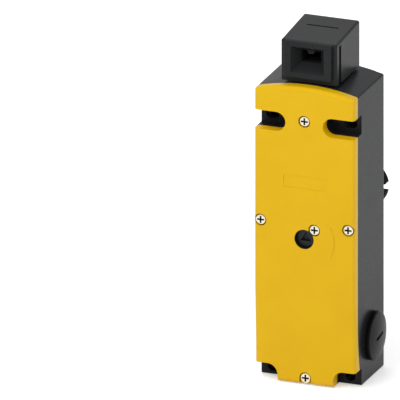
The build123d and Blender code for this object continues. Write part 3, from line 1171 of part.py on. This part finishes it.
def make_winding():
    """Copper winding under its tape."""
    foot = CORE_FOOT + BOBBIN_FLANGE_HEIGHT
    ring = Circle(WINDING_RADIUS) - Circle(ARMATURE_RADIUS + BOBBIN_WALL)
    return extrude(Pos(0, HEAD_Y, foot) * ring, amount=YOKE_TOP - YOKE_SHEET - BOBBIN_FLANGE_HEIGHT - foot)


def make_armature_spring():
    """Spring that lifts the plate off the yoke."""
    return coil_spring(ARMATURE_RADIUS + SPRING_GAP, YOKE_TOP + FIT, PLATE_FOOT - FIT, ARMATURE_SPRING_TURNS)


def make_coil_terminal_block():
    """Terminal block of the coil, on the front of the yoke."""
    base = block(around(0, COIL_BLOCK_HALF_WIDTH), (COIL_BLOCK_FRONT, COIL_BLOCK_REAR),
                 (COIL_BLOCK_FOOT, COIL_BLOCK_TOP))
    base = fillet(base.edges().filter_by(Axis.Y), BLOCK_EDGE_RADIUS)
    foot = block((YOKE_HALF_WIDTH - YOKE_SHEET, YOKE_HALF_WIDTH), (COIL_BLOCK_REAR, HEAD_Y - YOKE_HALF_DEPTH),
                 (COIL_BLOCK_FOOT + COIL_FOOT_INSET, COIL_BLOCK_TOP - COIL_FOOT_INSET))
    base += both_sides(foot)
    for x in COIL_TERMINAL_PLACES:
        base -= terminal_hole(x, COIL_TERMINAL_Z, COIL_BLOCK_FRONT)
    for x in around(0, COIL_TERMINAL_SPACING / 2):
        base -= block(around(x, COIL_GROOVE_WIDTH / 2), (COIL_BLOCK_FRONT, COIL_BLOCK_FRONT + COIL_GROOVE_DEPTH),
                      (COIL_BLOCK_FOOT, COIL_BLOCK_TOP))
    return base


# Release train

def make_release_shaft():
    """Shaft from the spindle to the knob."""
    return rod(SHAFT_RADIUS, 0, RELEASE_Z, KNOB_REAR - KNOB_FLOOR, FRONT + SPINDLE_RECESS + SPINDLE_HEAD_LENGTH)


def make_spindle():
    """Front end of the release, with a three-cornered recess for the key."""
    top = FRONT + SPINDLE_RECESS
    head = rod(SPINDLE_RADIUS, 0, RELEASE_Z, top + SPINDLE_HEAD_LENGTH, top)
    head = fillet(head.faces().sort_by(Axis.Y)[0].edges(), SPINDLE_EDGE_RADIUS)
    key = RegularPolygon(SPINDLE_KEY_SIDE / sqrt(3), 3, rotation=90)
    return head - on_front(Pos(0, RELEASE_Z) * key, top + SPINDLE_KEY_DEPTH, top)


def make_release_cam():
    """Cam on the shaft that pushes the bolt's roller out as it turns."""
    rise = spiral_cam(RELEASE_ROLLER_X, RELEASE_ROLLER_X + RELEASE_TRAVEL, RELEASE_TURN, ROLLER_RADIUS, 0)
    edges = Spline(*rise)
    edges += Polyline(rise[-1], (0, 0), rise[0])
    cam = make_face(edges) + Circle(Vector(*rise[0]).length)
    cam -= Circle(SHAFT_RADIUS + FIT)
    half = RELEASE_CAM_WIDTH / 2
    return on_front(Pos(0, RELEASE_Z) * cam, HEAD_Y + half, HEAD_Y - half)


def make_knob():
    """Lobed escape knob on the rear end of the shaft."""
    disc = Circle(KNOB_RADIUS)
    notch = Pos(KNOB_RADIUS, 0) * Rectangle(2 * KNOB_NOTCH_DEPTH, KNOB_NOTCH_WIDTH)
    notch += Pos(KNOB_RADIUS - KNOB_NOTCH_DEPTH, 0) * Circle(KNOB_NOTCH_WIDTH / 2)
    for turn in range(KNOB_NOTCH_COUNT):
        disc -= Rot(0, 0, 360 * turn / KNOB_NOTCH_COUNT) * notch
    knob = on_front(Pos(0, RELEASE_Z) * disc, KNOB_REAR, KNOB_FRONT)
    knob += rod(KNOB_HUB_RADIUS, 0, RELEASE_Z, KNOB_FRONT, KNOB_HUB_FRONT)
    knob -= rod(SHAFT_RADIUS + FIT, 0, RELEASE_Z, KNOB_REAR - KNOB_FLOOR + FIT, KNOB_HUB_FRONT)
    return knob - rod(SCREW_RADIUS + FIT, 0, RELEASE_Z, KNOB_REAR, KNOB_REAR - KNOB_FLOOR)


def make_knob_screw():
    """Screw through the knob up to the shaft's end."""
    top = KNOB_REAR + SCREW_HEAD_HEIGHT
    head = pan_head(0, RELEASE_Z, KNOB_REAR, top) - cross_recess(0, RELEASE_Z, top, top - CROSS_DEPTH)
    return head + rod(SCREW_RADIUS, 0, RELEASE_Z, KNOB_REAR, KNOB_REAR - KNOB_FLOOR + FIT)


PIECES = {
    "housing": make_housing,
    "cover": make_cover,
    "cover_gasket": gasket_space,
    "cover_screws": make_cover_screws,
    "seal_screw": make_seal_screw,
    "blanking_plugs": make_plugs,
    "plug_seals": make_plug_seals,
    "head_seal": lambda: neck_seal_ring(FIT),
    "shaft_seal": lambda: shaft_seal_ring(SHAFT_RADIUS + RUNNING_CLEARANCE),
    "head_housing": make_head,
    "head_retaining_ring": make_retaining_ring,
    "plunger_bush": make_bush,
    "cam_axle": make_axle,
    "cam_wheel": make_cam_wheel,
    "plunger": make_plunger,
    "plunger_spring": make_plunger_spring,
    "contact_bridges": make_bridges,
    "contact_block": make_contact_block,
    "fixed_contacts": make_fixed_contacts,
    "terminal_screws": make_terminal_screws,
    "mechanism_frame": make_mechanism_frame,
    "frame_screws": make_frame_screws,
    "bolt_carriage": make_carriage,
    "carriage_pin": make_carriage_pin,
    "locking_bolt": make_bolt,
    "follower_roller": make_roller,
    "lock_plate": make_lock_plate,
    "armature": make_armature,
    "armature_spring": make_armature_spring,
    "lock_bridge": make_lock_bridge,
    "lock_contact_block": make_lock_contact_block,
    "lock_fixed_contacts": make_lock_fixed_contacts,
    "solenoid_yoke": make_yoke,
    "fixed_core": make_core,
    "coil_bobbin": make_bobbin,
    "coil_winding": make_winding,
    "coil_terminal_block": make_coil_terminal_block,
    "release_shaft": make_release_shaft,
    "release_spindle": make_spindle,
    "release_cam": make_release_cam,
    "escape_knob": make_knob,
    "knob_screw": make_knob_screw,
}

os.makedirs("parts", exist_ok=True)
for name, make in PIECES.items():
    made = make()
    solids = made if isinstance(made, list) else [made]
    piece = Compound(children=[solid for item in solids for solid in item.solids()])
    piece.label = name
    export_step(piece, f"parts/{name}.step")
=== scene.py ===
import bpy
import json
from math import cos, hypot, pi, radians, sin
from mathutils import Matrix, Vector


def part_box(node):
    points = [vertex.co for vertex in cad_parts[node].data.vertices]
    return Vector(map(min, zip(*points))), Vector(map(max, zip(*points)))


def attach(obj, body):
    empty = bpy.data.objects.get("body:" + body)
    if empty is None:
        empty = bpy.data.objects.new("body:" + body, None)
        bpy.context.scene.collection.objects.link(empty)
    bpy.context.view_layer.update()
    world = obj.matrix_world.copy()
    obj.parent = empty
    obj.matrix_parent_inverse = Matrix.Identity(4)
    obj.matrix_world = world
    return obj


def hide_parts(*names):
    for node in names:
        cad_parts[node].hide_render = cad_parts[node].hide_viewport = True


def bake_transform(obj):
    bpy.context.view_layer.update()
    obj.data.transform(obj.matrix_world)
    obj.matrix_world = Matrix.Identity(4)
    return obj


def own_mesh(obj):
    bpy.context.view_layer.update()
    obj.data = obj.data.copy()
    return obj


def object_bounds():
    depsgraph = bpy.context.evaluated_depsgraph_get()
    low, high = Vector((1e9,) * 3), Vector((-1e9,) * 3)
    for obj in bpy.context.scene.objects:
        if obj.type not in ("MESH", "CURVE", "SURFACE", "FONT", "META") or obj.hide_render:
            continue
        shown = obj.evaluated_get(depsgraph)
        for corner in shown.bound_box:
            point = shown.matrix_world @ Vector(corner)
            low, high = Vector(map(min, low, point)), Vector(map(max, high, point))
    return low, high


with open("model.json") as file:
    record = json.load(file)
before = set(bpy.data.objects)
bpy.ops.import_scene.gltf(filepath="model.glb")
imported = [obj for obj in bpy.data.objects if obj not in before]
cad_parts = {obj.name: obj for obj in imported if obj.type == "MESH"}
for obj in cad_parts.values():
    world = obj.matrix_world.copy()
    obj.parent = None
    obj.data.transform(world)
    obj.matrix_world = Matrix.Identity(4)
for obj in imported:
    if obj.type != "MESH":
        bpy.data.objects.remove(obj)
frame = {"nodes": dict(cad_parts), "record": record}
cad_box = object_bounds()
nodes = frame["nodes"]
bpy.ops.object.select_all(action="DESELECT")


# Colours and shader nodes

def srgb(code):
    """Turns a colour written as RRGGBB into the linear colour that Blender uses."""
    channels = [int(code[i:i + 2], 16) / 255 for i in (0, 2, 4)]
    linear = [c / 12.92 if c <= 0.04045 else ((c + 0.055) / 1.055) ** 2.4 for c in channels]
    return (*linear, 1.0)


def add_node(material, kind, links=(), **values):
    """Adds one shader node, sets its values and links its inputs.

    Each link is an input's name or number and the output socket that feeds it. A value
    whose name is an input's is set on that socket, and any other is a setting of the node.
    """
    node = material.node_tree.nodes.new(kind)
    for name, value in values.items():
        socket = name.replace("_", " ").title()
        if socket in node.inputs:
            node.inputs[socket].default_value = value
        else:
            setattr(node, name, value)
    for name, output in links:
        material.node_tree.links.new(node.inputs[name], output)
    return node


def start_material(name):
    """An empty material with its shader, its output and the object coordinates."""
    material = bpy.data.materials.new(name)
    material.use_nodes = True
    tree = material.node_tree
    tree.nodes.clear()
    shader = tree.nodes.new("ShaderNodeBsdfPrincipled")
    output = tree.nodes.new("ShaderNodeOutputMaterial")
    tree.links.new(output.inputs["Surface"], shader.outputs["BSDF"])
    coords = tree.nodes.new("ShaderNodeTexCoord").outputs["Object"]
    return material, shader, coords


# Patterns of the finishes, as features for each metre, and their heights in metres

TONE_SCALE = 40.0               # drift of a moulded colour, over about 25 mm
GLOSS_SCALE = 90.0              # drift of its gloss, over about 11 mm
GRAIN_SCALE = 2600.0            # eroded texture of 0.4 mm, drawn coarser than real so that it shows
GRAIN_HEIGHT = 0.0002
METAL_TONE_SCALE = 160.0        # drift of a metal's tone, over about 6 mm
MARK_SCALE = 1800.0             # rolling and turning marks of 0.5 mm, also drawn coarser than real
MARK_HEIGHT = 0.0001
MARK_STRENGTH = 0.08
WIRE_SCALE = 700.0              # wire of 0.45 mm, as the wave texture has about 3 bands in each unit
WIRE_HEIGHT = 0.0002
WIRE_STRENGTH = 0.4
WIRE_WANDER = 0.4
WIRE_GLOSS = 0.35               # roughness of the tape over the winding
UPRIGHT_MARKS = (1.0, 1.0, 0.1)     # draws the marks out along the height
DARK_SHARE = 0.3                # share of the noise below which a tone is all dark
LIGHT_SHARE = 0.7


def varied_colour(material, shader, coords, light, dark, scale):
    """Lets the colour drift between two tones over the surface."""
    noise = add_node(material, "ShaderNodeTexNoise", [("Vector", coords)], scale=scale, detail=4.0,
                     roughness=0.55)
    ramp = add_node(material, "ShaderNodeValToRGB", [("Fac", noise.outputs["Fac"])])
    ramp.color_ramp.elements[0].position = DARK_SHARE
    ramp.color_ramp.elements[0].color = srgb(dark)
    ramp.color_ramp.elements[1].position = LIGHT_SHARE
    ramp.color_ramp.elements[1].color = srgb(light)
    material.node_tree.links.new(shader.inputs["Base Color"], ramp.outputs["Color"])


def varied_roughness(material, shader, fac, low, high):
    """Spreads a pattern over the range of the roughness."""
    spread = add_node(material, "ShaderNodeMapRange", [("Value", fac)], to_min=low, to_max=high)
    material.node_tree.links.new(shader.inputs["Roughness"], spread.outputs["Result"])


def bumps(material, shader, fac, strength, height):
    """Raises a pattern as fine bumps."""
    bump = add_node(material, "ShaderNodeBump", [("Height", fac)], strength=strength, distance=height)
    material.node_tree.links.new(shader.inputs["Normal"], bump.outputs["Normal"])


def plastic(name, light, dark, low, high, specular=0.5, grain=0.25):
    """Moulded plastic with an eroded texture: two close tones, a gloss that drifts and fine grain."""
    material, shader, coords = start_material(name)
    shader.inputs["Specular IOR Level"].default_value = specular
    varied_colour(material, shader, coords, light, dark, TONE_SCALE)
    gloss = add_node(material, "ShaderNodeTexNoise", [("Vector", coords)], scale=GLOSS_SCALE, detail=3.0)
    varied_roughness(material, shader, gloss.outputs["Fac"], low, high)
    grains = add_node(material, "ShaderNodeTexNoise", [("Vector", coords)], scale=GRAIN_SCALE, detail=2.0,
                      roughness=0.6)
    bumps(material, shader, grains.outputs["Fac"], grain, GRAIN_HEIGHT)
    return material


def metal(name, light, dark, low, high, stretch=(1.0, 1.0, 1.0)):
    """Metal with two close tones and fine marks, which a stretch draws out along one axis."""
    material, shader, coords = start_material(name)
    shader.inputs["Metallic"].default_value = 1.0
    varied_colour(material, shader, coords, light, dark, METAL_TONE_SCALE)
    mapping = add_node(material, "ShaderNodeMapping", [("Vector", coords)], scale=stretch)
    marks = add_node(material, "ShaderNodeTexNoise", [("Vector", mapping.outputs["Vector"])],
                     scale=MARK_SCALE, detail=2.0)
    varied_roughness(material, shader, marks.outputs["Fac"], low, high)
    bumps(material, shader, marks.outputs["Fac"], MARK_STRENGTH, MARK_HEIGHT)
    return material


# The screws' painted shade starts behind the cover's face, which leans back towards its foot. In metres.

cover_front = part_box("cover")[0].y
FACE_TAPER = 0.0015             # how far the face leans back at its foot
TAPER_FOOT = 0.006
TAPER_TOP = 0.058
PAINTED_SHADE_START = 0.0005            # behind the face
PAINTED_SHADE_FULL = 0.0009


def screws_with_painted_shade():
    """Bright zinc plating, whose cross recess and sides behind the cover's face are darkened with painted
    shade.
    """
    material = metal("zinc_plated_cover_screws", "E8E1CF", "D6CEBB", 0.22, 0.38)
    shader = next(node for node in material.node_tree.nodes if node.type == "BSDF_PRINCIPLED")
    bright = shader.inputs["Base Color"].links[0].from_socket
    coords = add_node(material, "ShaderNodeTexCoord").outputs["Object"]
    axes = add_node(material, "ShaderNodeSeparateXYZ", [("Vector", coords)]).outputs
    face = add_node(material, "ShaderNodeMapRange", [("Value", axes["Z"])], from_min=TAPER_FOOT,
                    from_max=TAPER_TOP, to_min=cover_front + FACE_TAPER, to_max=cover_front)
    depth = add_node(material, "ShaderNodeMath", [(0, axes["Y"]), (1, face.outputs["Result"])],
                     operation="SUBTRACT")
    share = add_node(material, "ShaderNodeMapRange", [("Value", depth.outputs["Value"])],
                     from_min=PAINTED_SHADE_START, from_max=PAINTED_SHADE_FULL)
    # A mix of colours has its factor at input 0, its colours at 6 and 7 and its result at output 2
    recess_shade = add_node(material, "ShaderNodeMix", [(0, share.outputs["Result"]), (6, bright)], data_type="RGBA")
    # Painted shade: a dark brown colour on the cross recess and on the heads' sides
    recess_shade.inputs[7].default_value = srgb("2B2724")
    material.node_tree.links.new(shader.inputs["Base Color"], recess_shade.outputs[2])
    return material


def winding():
    """Copper wire under clear tape: fine rings round the coil's axis."""
    material, shader, coords = start_material("taped_copper_winding")
    shader.inputs["Roughness"].default_value = WIRE_GLOSS
    wave = add_node(material, "ShaderNodeTexWave", [("Vector", coords)], scale=WIRE_SCALE,
                    distortion=WIRE_WANDER, bands_direction="Z")
    ramp = add_node(material, "ShaderNodeValToRGB", [("Fac", wave.outputs["Fac"])])
    ramp.color_ramp.elements[0].color = srgb("5E3416")
    ramp.color_ramp.elements[1].color = srgb("B9702F")
    material.node_tree.links.new(shader.inputs["Base Color"], ramp.outputs["Color"])
    bumps(material, shader, wave.outputs["Fac"], WIRE_STRENGTH, WIRE_HEIGHT)
    return material


# Finishes by the record's material slots. A dark plastic's low specular level keeps its flat sides grey.

FINISHES = {
    # Glass-filled nylon of the casing, moulded and eroded: near black, with a grey sheen seen aslant
    "housing_plastic": plastic("black_grey_nylon", "212225", "1D1E21", 0.24, 0.32, 0.08, grain=0.12),
    # Yellow polycarbonate of the cover, moulded: even and satin
    "cover_plastic": plastic("yellow_polycarbonate", "E1B40B", "DDAF08", 0.34, 0.44, 0.2, grain=0.15),
    # Black glass-filled nylon of the actuator head: a touch glossier than the casing
    "head_plastic": plastic("black_nylon", "272829", "232425", 0.24, 0.32, 0.09, grain=0.12),
    # Black polyamide of the blanking plugs: darker than the casing behind them
    "plug_plastic": plastic("black_polyamide", "0D0D0E", "0B0B0C", 0.26, 0.34, 0.06),
    # Black acetal of the recessed release spindle: waxy and dark
    "spindle_plastic": plastic("black_acetal", "191A1A", "151616", 0.4, 0.5, 0.3),
    # Natural acetal of the bolt's carriage: milky white and smooth
    "cam_plastic": plastic("natural_acetal", "D8D5CA", "CFCBBE", 0.3, 0.4, grain=0.05),
    # Phenolic moulding that insulates the contacts: dull red brown
    "insulator": plastic("brown_phenolic", "6B3A26", "5E3020", 0.35, 0.5),
    # Nitrile rubber of the seals: matt black
    "seal_rubber": plastic("nitrile_rubber", "1E1E1E", "171717", 0.6, 0.75),
    # Zinc-plated steel of the inner screws: bright and slightly blue
    "zinc_steel": metal("zinc_plated_steel", "E3E3DE", "CFCFC9", 0.22, 0.38),
    # Cold-drawn spring steel: grey with a clear gloss
    "spring_steel": metal("spring_steel", "B4B6B8", "A0A2A5", 0.2, 0.35),
    # Zinc-plated sheet of the frame, yoke and lock plate: pale, with marks of the rolling
    "sheet_steel": metal("zinc_plated_sheet", "C8C8C4", "B5B5B0", 0.3, 0.45, UPRIGHT_MARKS),
    # Turned steel of shafts and pins: clean and glossy
    "rod_steel": metal("turned_steel", "C6C7C9", "B2B3B6", 0.18, 0.32, UPRIGHT_MARKS),
    # Brass of the contact strips and the bush: warm yellow
    "contact_brass": metal("brass", "D9B45C", "C49E48", 0.22, 0.36),
    "winding": winding(),
}

# Nodes whose finish differs from that of their slot
screw_finish = screws_with_painted_shade()
NODE_FINISHES = {
    "cover_screws": screw_finish,
    "seal_screw": screw_finish,
    # Black acetal of the cam wheel, made near black as painted shade in the throat
    "cam_wheel": plastic("black_acetal_painted_shade", "060606", "040404", 0.5, 0.6, 0.05),
    # Black nylon of the escape knob: duller than the head
    "escape_knob": plastic("dull_black_nylon", "0B0B0C", "090909", 0.5, 0.6, 0.02),
}

for subpart in frame["record"]["subparts"]:
    name = subpart["node"]
    materials = nodes[name].data.materials
    materials.clear()
    materials.append(NODE_FINISHES.get(name, FINISHES[subpart["material_slot"]]))


# Pieces that the scene adds to the CAD model, in metres

SLEEVE_GAP = 0.00018            # release spindle to the sleeve's outside
SLEEVE_WALL = 0.00015
SLEEVE_SETBACK = 0.00005        # cover's face to the sleeve's end
SLEEVE_LAP = 0.0008             # how far the sleeve runs past the spindle's face
SLEEVE_SIDES = 160
SCREW_CLEARANCE = 0.0032        # radius that the seal screw's counterbore takes

SPRING_WIRE = 0.0006
WIRE_SIDES = 12
SIDES_PER_TURN = 32
PLUNGER_SPRING_TURNS = 5
ARMATURE_SPRING_TURNS = 4
SMOOTH_ANGLE = radians(40.0)


def middle(low, high):
    """Point halfway between two corners."""
    return (Vector(low) + Vector(high)) / 2


def cut_round_screw(sleeve):
    """Opens the sleeve where the seal screw's counterbore runs into it."""
    screw = middle(*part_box("seal_screw"))
    bpy.ops.object.mode_set(mode="EDIT")
    bpy.ops.mesh.select_all(action="DESELECT")
    bpy.ops.mesh.select_mode(type="VERT")
    bpy.ops.object.mode_set(mode="OBJECT")
    for vertex in sleeve.data.vertices:
        vertex.select = hypot(vertex.co.x - screw.x, vertex.co.z - screw.z) < SCREW_CLEARANCE
    bpy.ops.object.mode_set(mode="EDIT")
    bpy.ops.mesh.delete(type="VERT")
    bpy.ops.object.mode_set(mode="OBJECT")


def face_outwards():
    """Turns all faces of the active mesh outwards."""
    bpy.ops.object.mode_set(mode="EDIT")
    bpy.ops.mesh.select_all(action="SELECT")
    bpy.ops.mesh.normals_make_consistent(inside=False)
    bpy.ops.object.mode_set(mode="OBJECT")


def make_release_sleeve():
    """Thin black sleeve that lines the cover's hole in front of the release spindle."""
    low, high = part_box("release_spindle")
    front = cover_front + SLEEVE_SETBACK
    rear = low.y + SLEEVE_LAP
    centre = middle(low, high)
    place = (centre.x, (front + rear) / 2, centre.z)
    bpy.ops.mesh.primitive_cylinder_add(vertices=SLEEVE_SIDES, radius=(high.x - low.x) / 2 + SLEEVE_GAP,
                                        depth=rear - front, end_fill_type="NOTHING", location=place,
                                        rotation=(pi / 2, 0.0, 0.0))
    sleeve = bpy.context.object
    sleeve.name = "release_sleeve"
    bpy.ops.object.transform_apply(location=True, rotation=True, scale=True)
    cut_round_screw(sleeve)
    face_outwards()
    wall = sleeve.modifiers.new("wall", "SOLIDIFY")
    wall.thickness = SLEEVE_WALL
    wall.offset = -1.0
    bpy.ops.object.modifier_apply(modifier="wall")
    bpy.ops.object.shade_smooth_by_angle(angle=SMOOTH_ANGLE)
    sleeve.data.materials.append(FINISHES["spindle_plastic"])
    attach(sleeve, "casing")


def coil_spring(name, node, turns):
    """A coil with the place, size and turns of a spring of the CAD model, which can't change its length."""
    low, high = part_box(node)
    bpy.ops.object.select_all(action="DESELECT")
    place = ((high.x - low.x - SPRING_WIRE) / 2, 0.0, 0.0)
    bpy.ops.mesh.primitive_circle_add(vertices=WIRE_SIDES, radius=SPRING_WIRE / 2, location=place,
                                      rotation=(pi / 2, 0.0, 0.0))
    spring = bpy.context.object
    spring.name = name
    bpy.ops.object.transform_apply(location=True, rotation=True, scale=True)
    coil = spring.modifiers.new("coil", "SCREW")
    coil.iterations = turns
    coil.screw_offset = (high.z - low.z - SPRING_WIRE) / turns
    coil.steps = SIDES_PER_TURN
    coil.render_steps = SIDES_PER_TURN
    bpy.ops.object.modifier_apply(modifier="coil")
    bpy.ops.object.mode_set(mode="EDIT")
    bpy.ops.mesh.select_all(action="SELECT")
    bpy.ops.mesh.fill_holes(sides=WIRE_SIDES)
    bpy.ops.object.mode_set(mode="OBJECT")
    face_outwards()
    centre = middle(low, high)
    spring.location = (centre.x, centre.y, low.z + SPRING_WIRE / 2)
    bpy.ops.object.transform_apply(location=True, rotation=True, scale=True)
    bpy.ops.object.shade_smooth_by_angle(angle=SMOOTH_ANGLE)
    spring.data.materials.append(FINISHES["spring_steel"])
    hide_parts(node)
    return spring, low, high


def make_plunger_spring():
    """Coil of the plunger spring at its drawn length; the real spring grows longer as the plunger rises from
    the contact block.
    """
    spring, low, high = coil_spring("coiled_plunger_spring", "plunger_spring", PLUNGER_SPRING_TURNS)
    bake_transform(spring)


def make_armature_spring():
    """Coil of the armature spring on the casing, at its drawn length; the real spring shortens as the lock
    plate comes down.
    """
    spring, low, high = coil_spring("coiled_armature_spring", "armature_spring", ARMATURE_SPRING_TURNS)
    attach(spring, "casing")
    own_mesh(spring)


make_release_sleeve()
make_plunger_spring()
make_armature_spring()


# Floor and surroundings

WHITE = (1.0, 1.0, 1.0, 1.0)
WORLD_LIGHT = 0.5               # light of the white surroundings, which are seen at full white
FLOOR_LIFT = 0.4                # share by which the floor is lifted to white where it is seen
FLOOR_SIZE = 6.0
FLOOR_DROP = 0.0005             # object's foot to the floor
FLOOR_ROUGHNESS = 0.9


def seen_share(owner):
    """One for what is seen straight, mirrored or through clear parts, and zero where it gives light."""
    ray = add_node(owner, "ShaderNodeLightPath")
    share = ray.outputs["Is Camera Ray"]
    for name in ("Is Glossy Ray", "Is Transmission Ray"):
        share = add_node(owner, "ShaderNodeMath", [(0, share), (1, ray.outputs[name])], operation="MAXIMUM")
        share = share.outputs["Value"]
    return share


def make_floor():
    """Plain pale floor: what is seen of it is lifted to white, and the shadow stays as a soft grey."""
    bpy.ops.mesh.primitive_plane_add(size=FLOOR_SIZE, location=(0.0, 0.0, cad_box[0][2] - FLOOR_DROP))
    floor = bpy.context.object
    floor.name = "floor"
    material, shader, _ = start_material("pale_floor")
    shader.inputs["Base Color"].default_value = srgb("F2F2F2")
    shader.inputs["Roughness"].default_value = FLOOR_ROUGHNESS
    shader.inputs["Emission Color"].default_value = WHITE
    lift = add_node(material, "ShaderNodeMath", [(0, seen_share(material))], operation="MULTIPLY")
    lift.inputs[1].default_value = FLOOR_LIFT
    material.node_tree.links.new(shader.inputs["Emission Strength"], lift.outputs["Value"])
    floor.data.materials.append(material)


def make_surroundings():
    """White surroundings, seen at full white but giving less light."""
    world = bpy.context.scene.world or bpy.data.worlds.new("studio")
    bpy.context.scene.world = world
    world.use_nodes = True
    background = world.node_tree.nodes["Background"]
    background.inputs["Color"].default_value = WHITE
    brightness = add_node(world, "ShaderNodeMapRange", [("Value", seen_share(world))], to_min=WORLD_LIGHT,
                          to_max=1.0)
    world.node_tree.links.new(background.inputs["Strength"], brightness.outputs["Result"])


make_floor()
make_surroundings()


# Lamps

LAMP_SIZE = 0.6
LAMP_AIM = Vector((0.0, 0.0, 0.09))
LAMPS = {
    "left_light": ((-0.3, -0.7, 0.85), 5.2),
    "right_light": ((0.75, -0.45, 0.6), 2.5),
    "back_light": ((-0.5, 0.8, 0.7), 3.0),
}


def soft_light(name, place, power):
    """A square soft light turned towards the object, which leaves the gloss to the white surroundings."""
    bpy.ops.object.light_add(type="AREA", location=place)
    lamp = bpy.context.object
    lamp.name = name
    lamp.visible_glossy = False
    lamp.data.size = LAMP_SIZE
    lamp.data.energy = power
    lamp.rotation_euler = (LAMP_AIM - Vector(place)).to_track_quat("-Z", "Y").to_euler()


for name, (place, power) in LAMPS.items():
    soft_light(name, place, power)


# Camera, far away and with parallel projection, as the photograph's long lens nearly gives

AZIMUTH = radians(20.66)
ELEVATION = radians(20.2)
CAMERA_DISTANCE = 1.2
PICTURE_WIDTH = 0.202
FOOT_CORNER = Vector((0.027, -0.03265, 0.0))    # right front corner of the casing's foot
CORNER_RIGHT = 0.08161          # that corner's place right of the picture's middle
CORNER_DOWN = 0.09349           # and below it

right_axis = Vector((cos(AZIMUTH), sin(AZIMUTH), 0.0))
up_axis = Vector((-sin(AZIMUTH) * sin(ELEVATION), cos(AZIMUTH) * sin(ELEVATION), cos(ELEVATION)))
back_axis = right_axis.cross(up_axis)
picture_middle = FOOT_CORNER - CORNER_RIGHT * right_axis + CORNER_DOWN * up_axis
bpy.ops.object.camera_add(location=picture_middle + CAMERA_DISTANCE * back_axis,
                          rotation=(pi / 2 - ELEVATION, 0.0, AZIMUTH))
camera = bpy.context.object
camera.data.type = "ORTHO"
camera.data.ortho_scale = PICTURE_WIDTH
bpy.context.scene.camera = camera

bpy.context.scene.view_settings.view_transform = "Standard"
